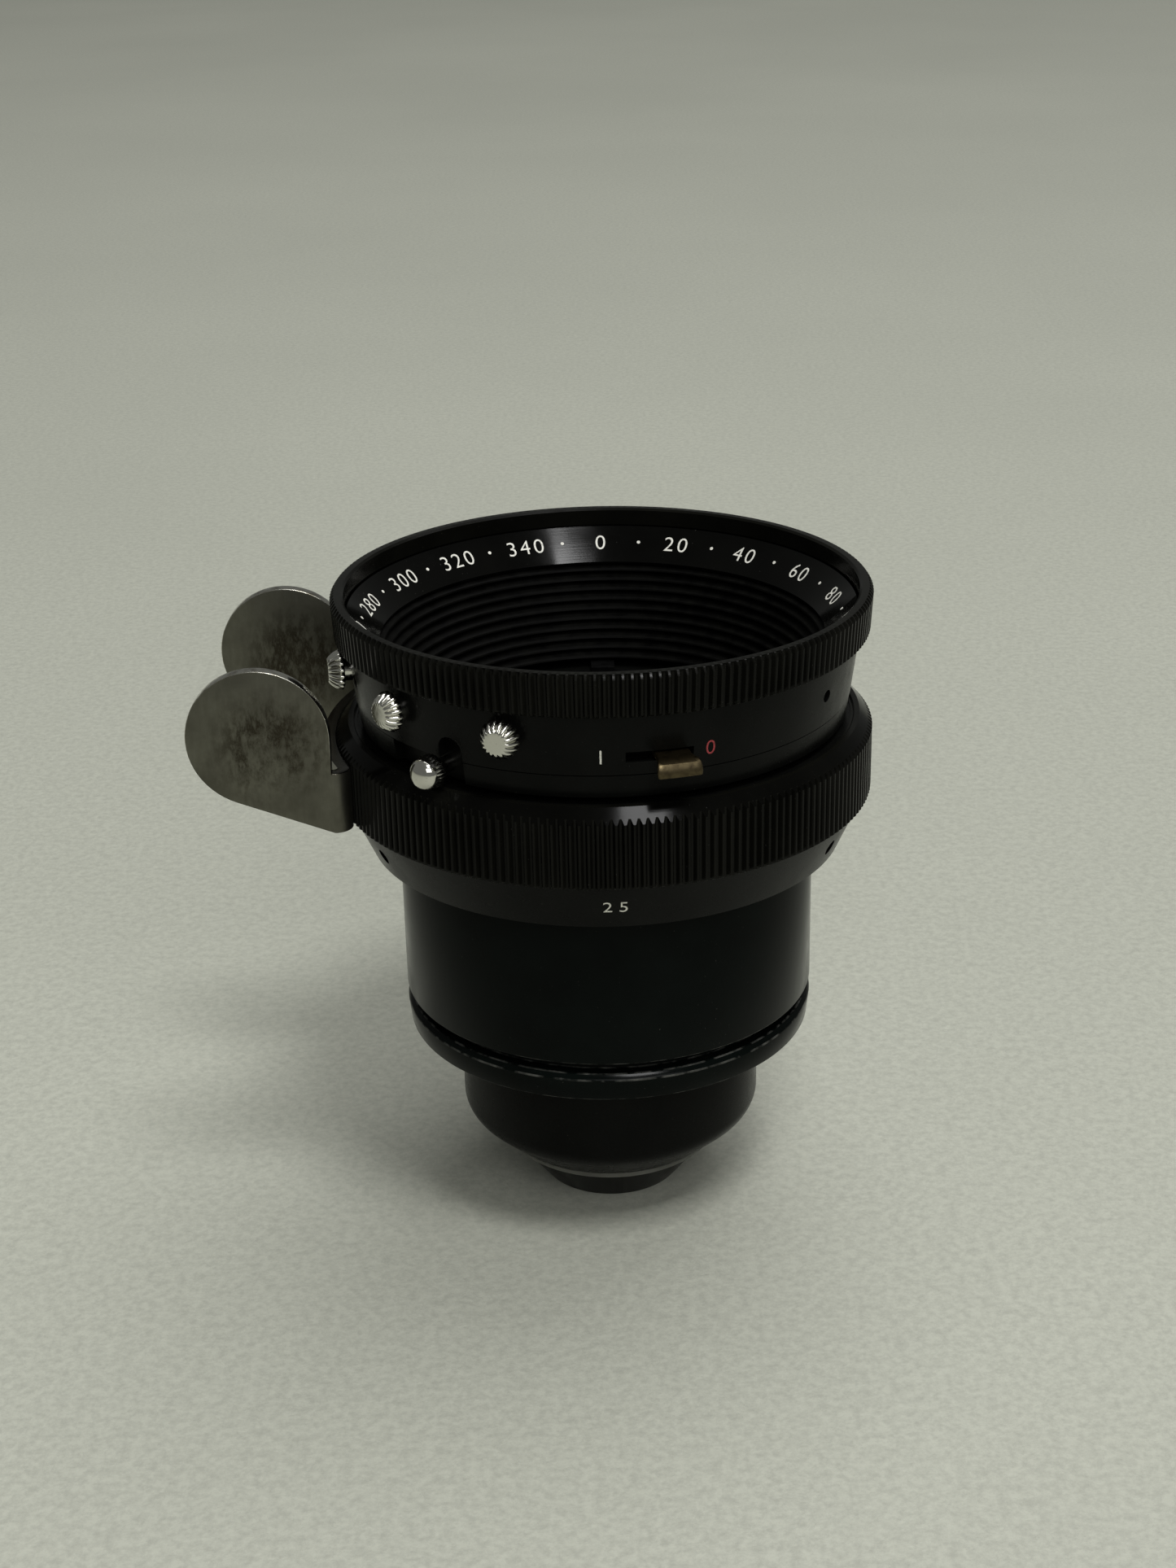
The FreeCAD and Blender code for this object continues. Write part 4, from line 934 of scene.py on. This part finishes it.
def make_dial_numbers():
    """Numbers with dots between them, round the coned face of the name ring."""
    outer, low, high = measure("name_ring")
    half_width = (high - low) / 2.0
    radius = outer - half_width + 0.05
    level = high - half_width + 0.05
    count = 18
    for index in range(count):
        azimuth = 90.0 - 360.0 * index / count
        between = azimuth - 180.0 / count
        number = str(20 * index)
        mark(f"dial_number_{index}", number, 1.7, "barrel", WHITE, azimuth, radius, level, 45.0, inward=True)
        mark(f"dial_dot_{index}", "·", 2.4, "barrel", WHITE, between, radius, level, 45.0, inward=True)


# ---- stage, light and camera -------------------------------------------------------------------------
FLOOR_HALF = 6.0                # metres


def make_stage():
    """A pale floor with a fine paper grain."""
    floor = bpy.data.meshes.new("floor")
    shape = bmesh.new()
    bmesh.ops.create_grid(shape, x_segments=1, y_segments=1, size=FLOOR_HALF)
    bmesh.ops.translate(shape, verts=shape.verts, vec=(0.0, 0.0, cad_low.z))
    shape.to_mesh(floor)
    shape.free()
    plane = bpy.data.objects.new("floor", floor)
    bpy.context.scene.collection.objects.link(plane)
    finish = Finish("pale_floor", (0.44, 0.45, 0.385), roughness=0.5, ior=1.35)
    color = finish.blend(finish.span(finish.noise(6.0), 0.3, 0.7), (0.425, 0.435, 0.370), (0.46, 0.47, 0.40))
    fibre = finish.noise(1000.0, detail=6.0, rough=0.75)
    color = finish.blend(finish.span(fibre, 0.40, 0.64, 0.0, 0.6), color, (0.31, 0.315, 0.27))
    finish.feed(color, "Base Color")
    finish.relief(finish.noise(1300.0, detail=5.0, rough=0.7), 0.35, 0.25 * MM)
    floor.materials.append(finish.material)


def make_light(name, direction, distance, size, power):
    """A soft rectangle of light that faces the lens. Distance and size are in metres."""
    lamp = bpy.data.lights.new(name, "AREA")
    lamp.shape = "RECTANGLE"
    lamp.size, lamp.size_y = size
    lamp.energy = power
    holder = bpy.data.objects.new(name, lamp)
    bpy.context.scene.collection.objects.link(holder)
    way = Vector(direction).normalized()
    holder.location = way * distance
    holder.rotation_euler = way.to_track_quat("Z", "Y").to_euler()


def make_lights():
    world = bpy.data.worlds.new("studio")
    world.use_nodes = True
    ground = world.node_tree.nodes["Background"]
    ground.inputs["Color"].default_value = (0.93, 0.95, 0.90, 1.0)
    ground.inputs["Strength"].default_value = 0.17
    bpy.context.scene.world = world
    make_light("ceiling_panel", (0.18, -0.37, 0.91), 1.3, (0.30, 0.30), 9.0)
    make_light("soft_top", (0.22, 0.34, 1.0), 3.0, (2.2, 2.2), 44.0)
    make_light("front_fill", (0.30, -1.0, 0.80), 1.8, (1.3, 0.8), 9.0)
    bpy.context.scene.view_settings.view_transform = "Standard"


def make_camera():
    """Looks down on the standing lens from in front, from about 0.24 m."""
    place = Vector((0.0, -214.68, 95.45)) * MM
    look_down = 23.027
    yaw, pitch, roll = (math.radians(angle) for angle in (0.447, 90.0 - look_down, -1.254))
    lens = bpy.data.cameras.new("camera")
    lens.lens = 54.07
    lens.sensor_width = 36.0
    lens.clip_start = 0.01
    camera = bpy.data.objects.new("camera", lens)
    bpy.context.scene.collection.objects.link(camera)
    turn = Matrix.Rotation(yaw, 4, "Z") @ Matrix.Rotation(pitch, 4, "X") @ Matrix.Rotation(roll, 4, "Z")
    camera.matrix_world = Matrix.Translation(place) @ turn
    bpy.context.scene.camera = camera


make_camera()
make_lights()
make_stage()
dress_cad_nodes()
make_mount_sleeve()
make_rear_barrel()
make_tail_cell()
make_focus_ring()
make_finger_grip()
make_front_baffle()
make_aperture_studs()
make_index_stud()
make_front_rim()
make_click_lever()
make_focal_number()
make_lever_marks()
make_dial_numbers()
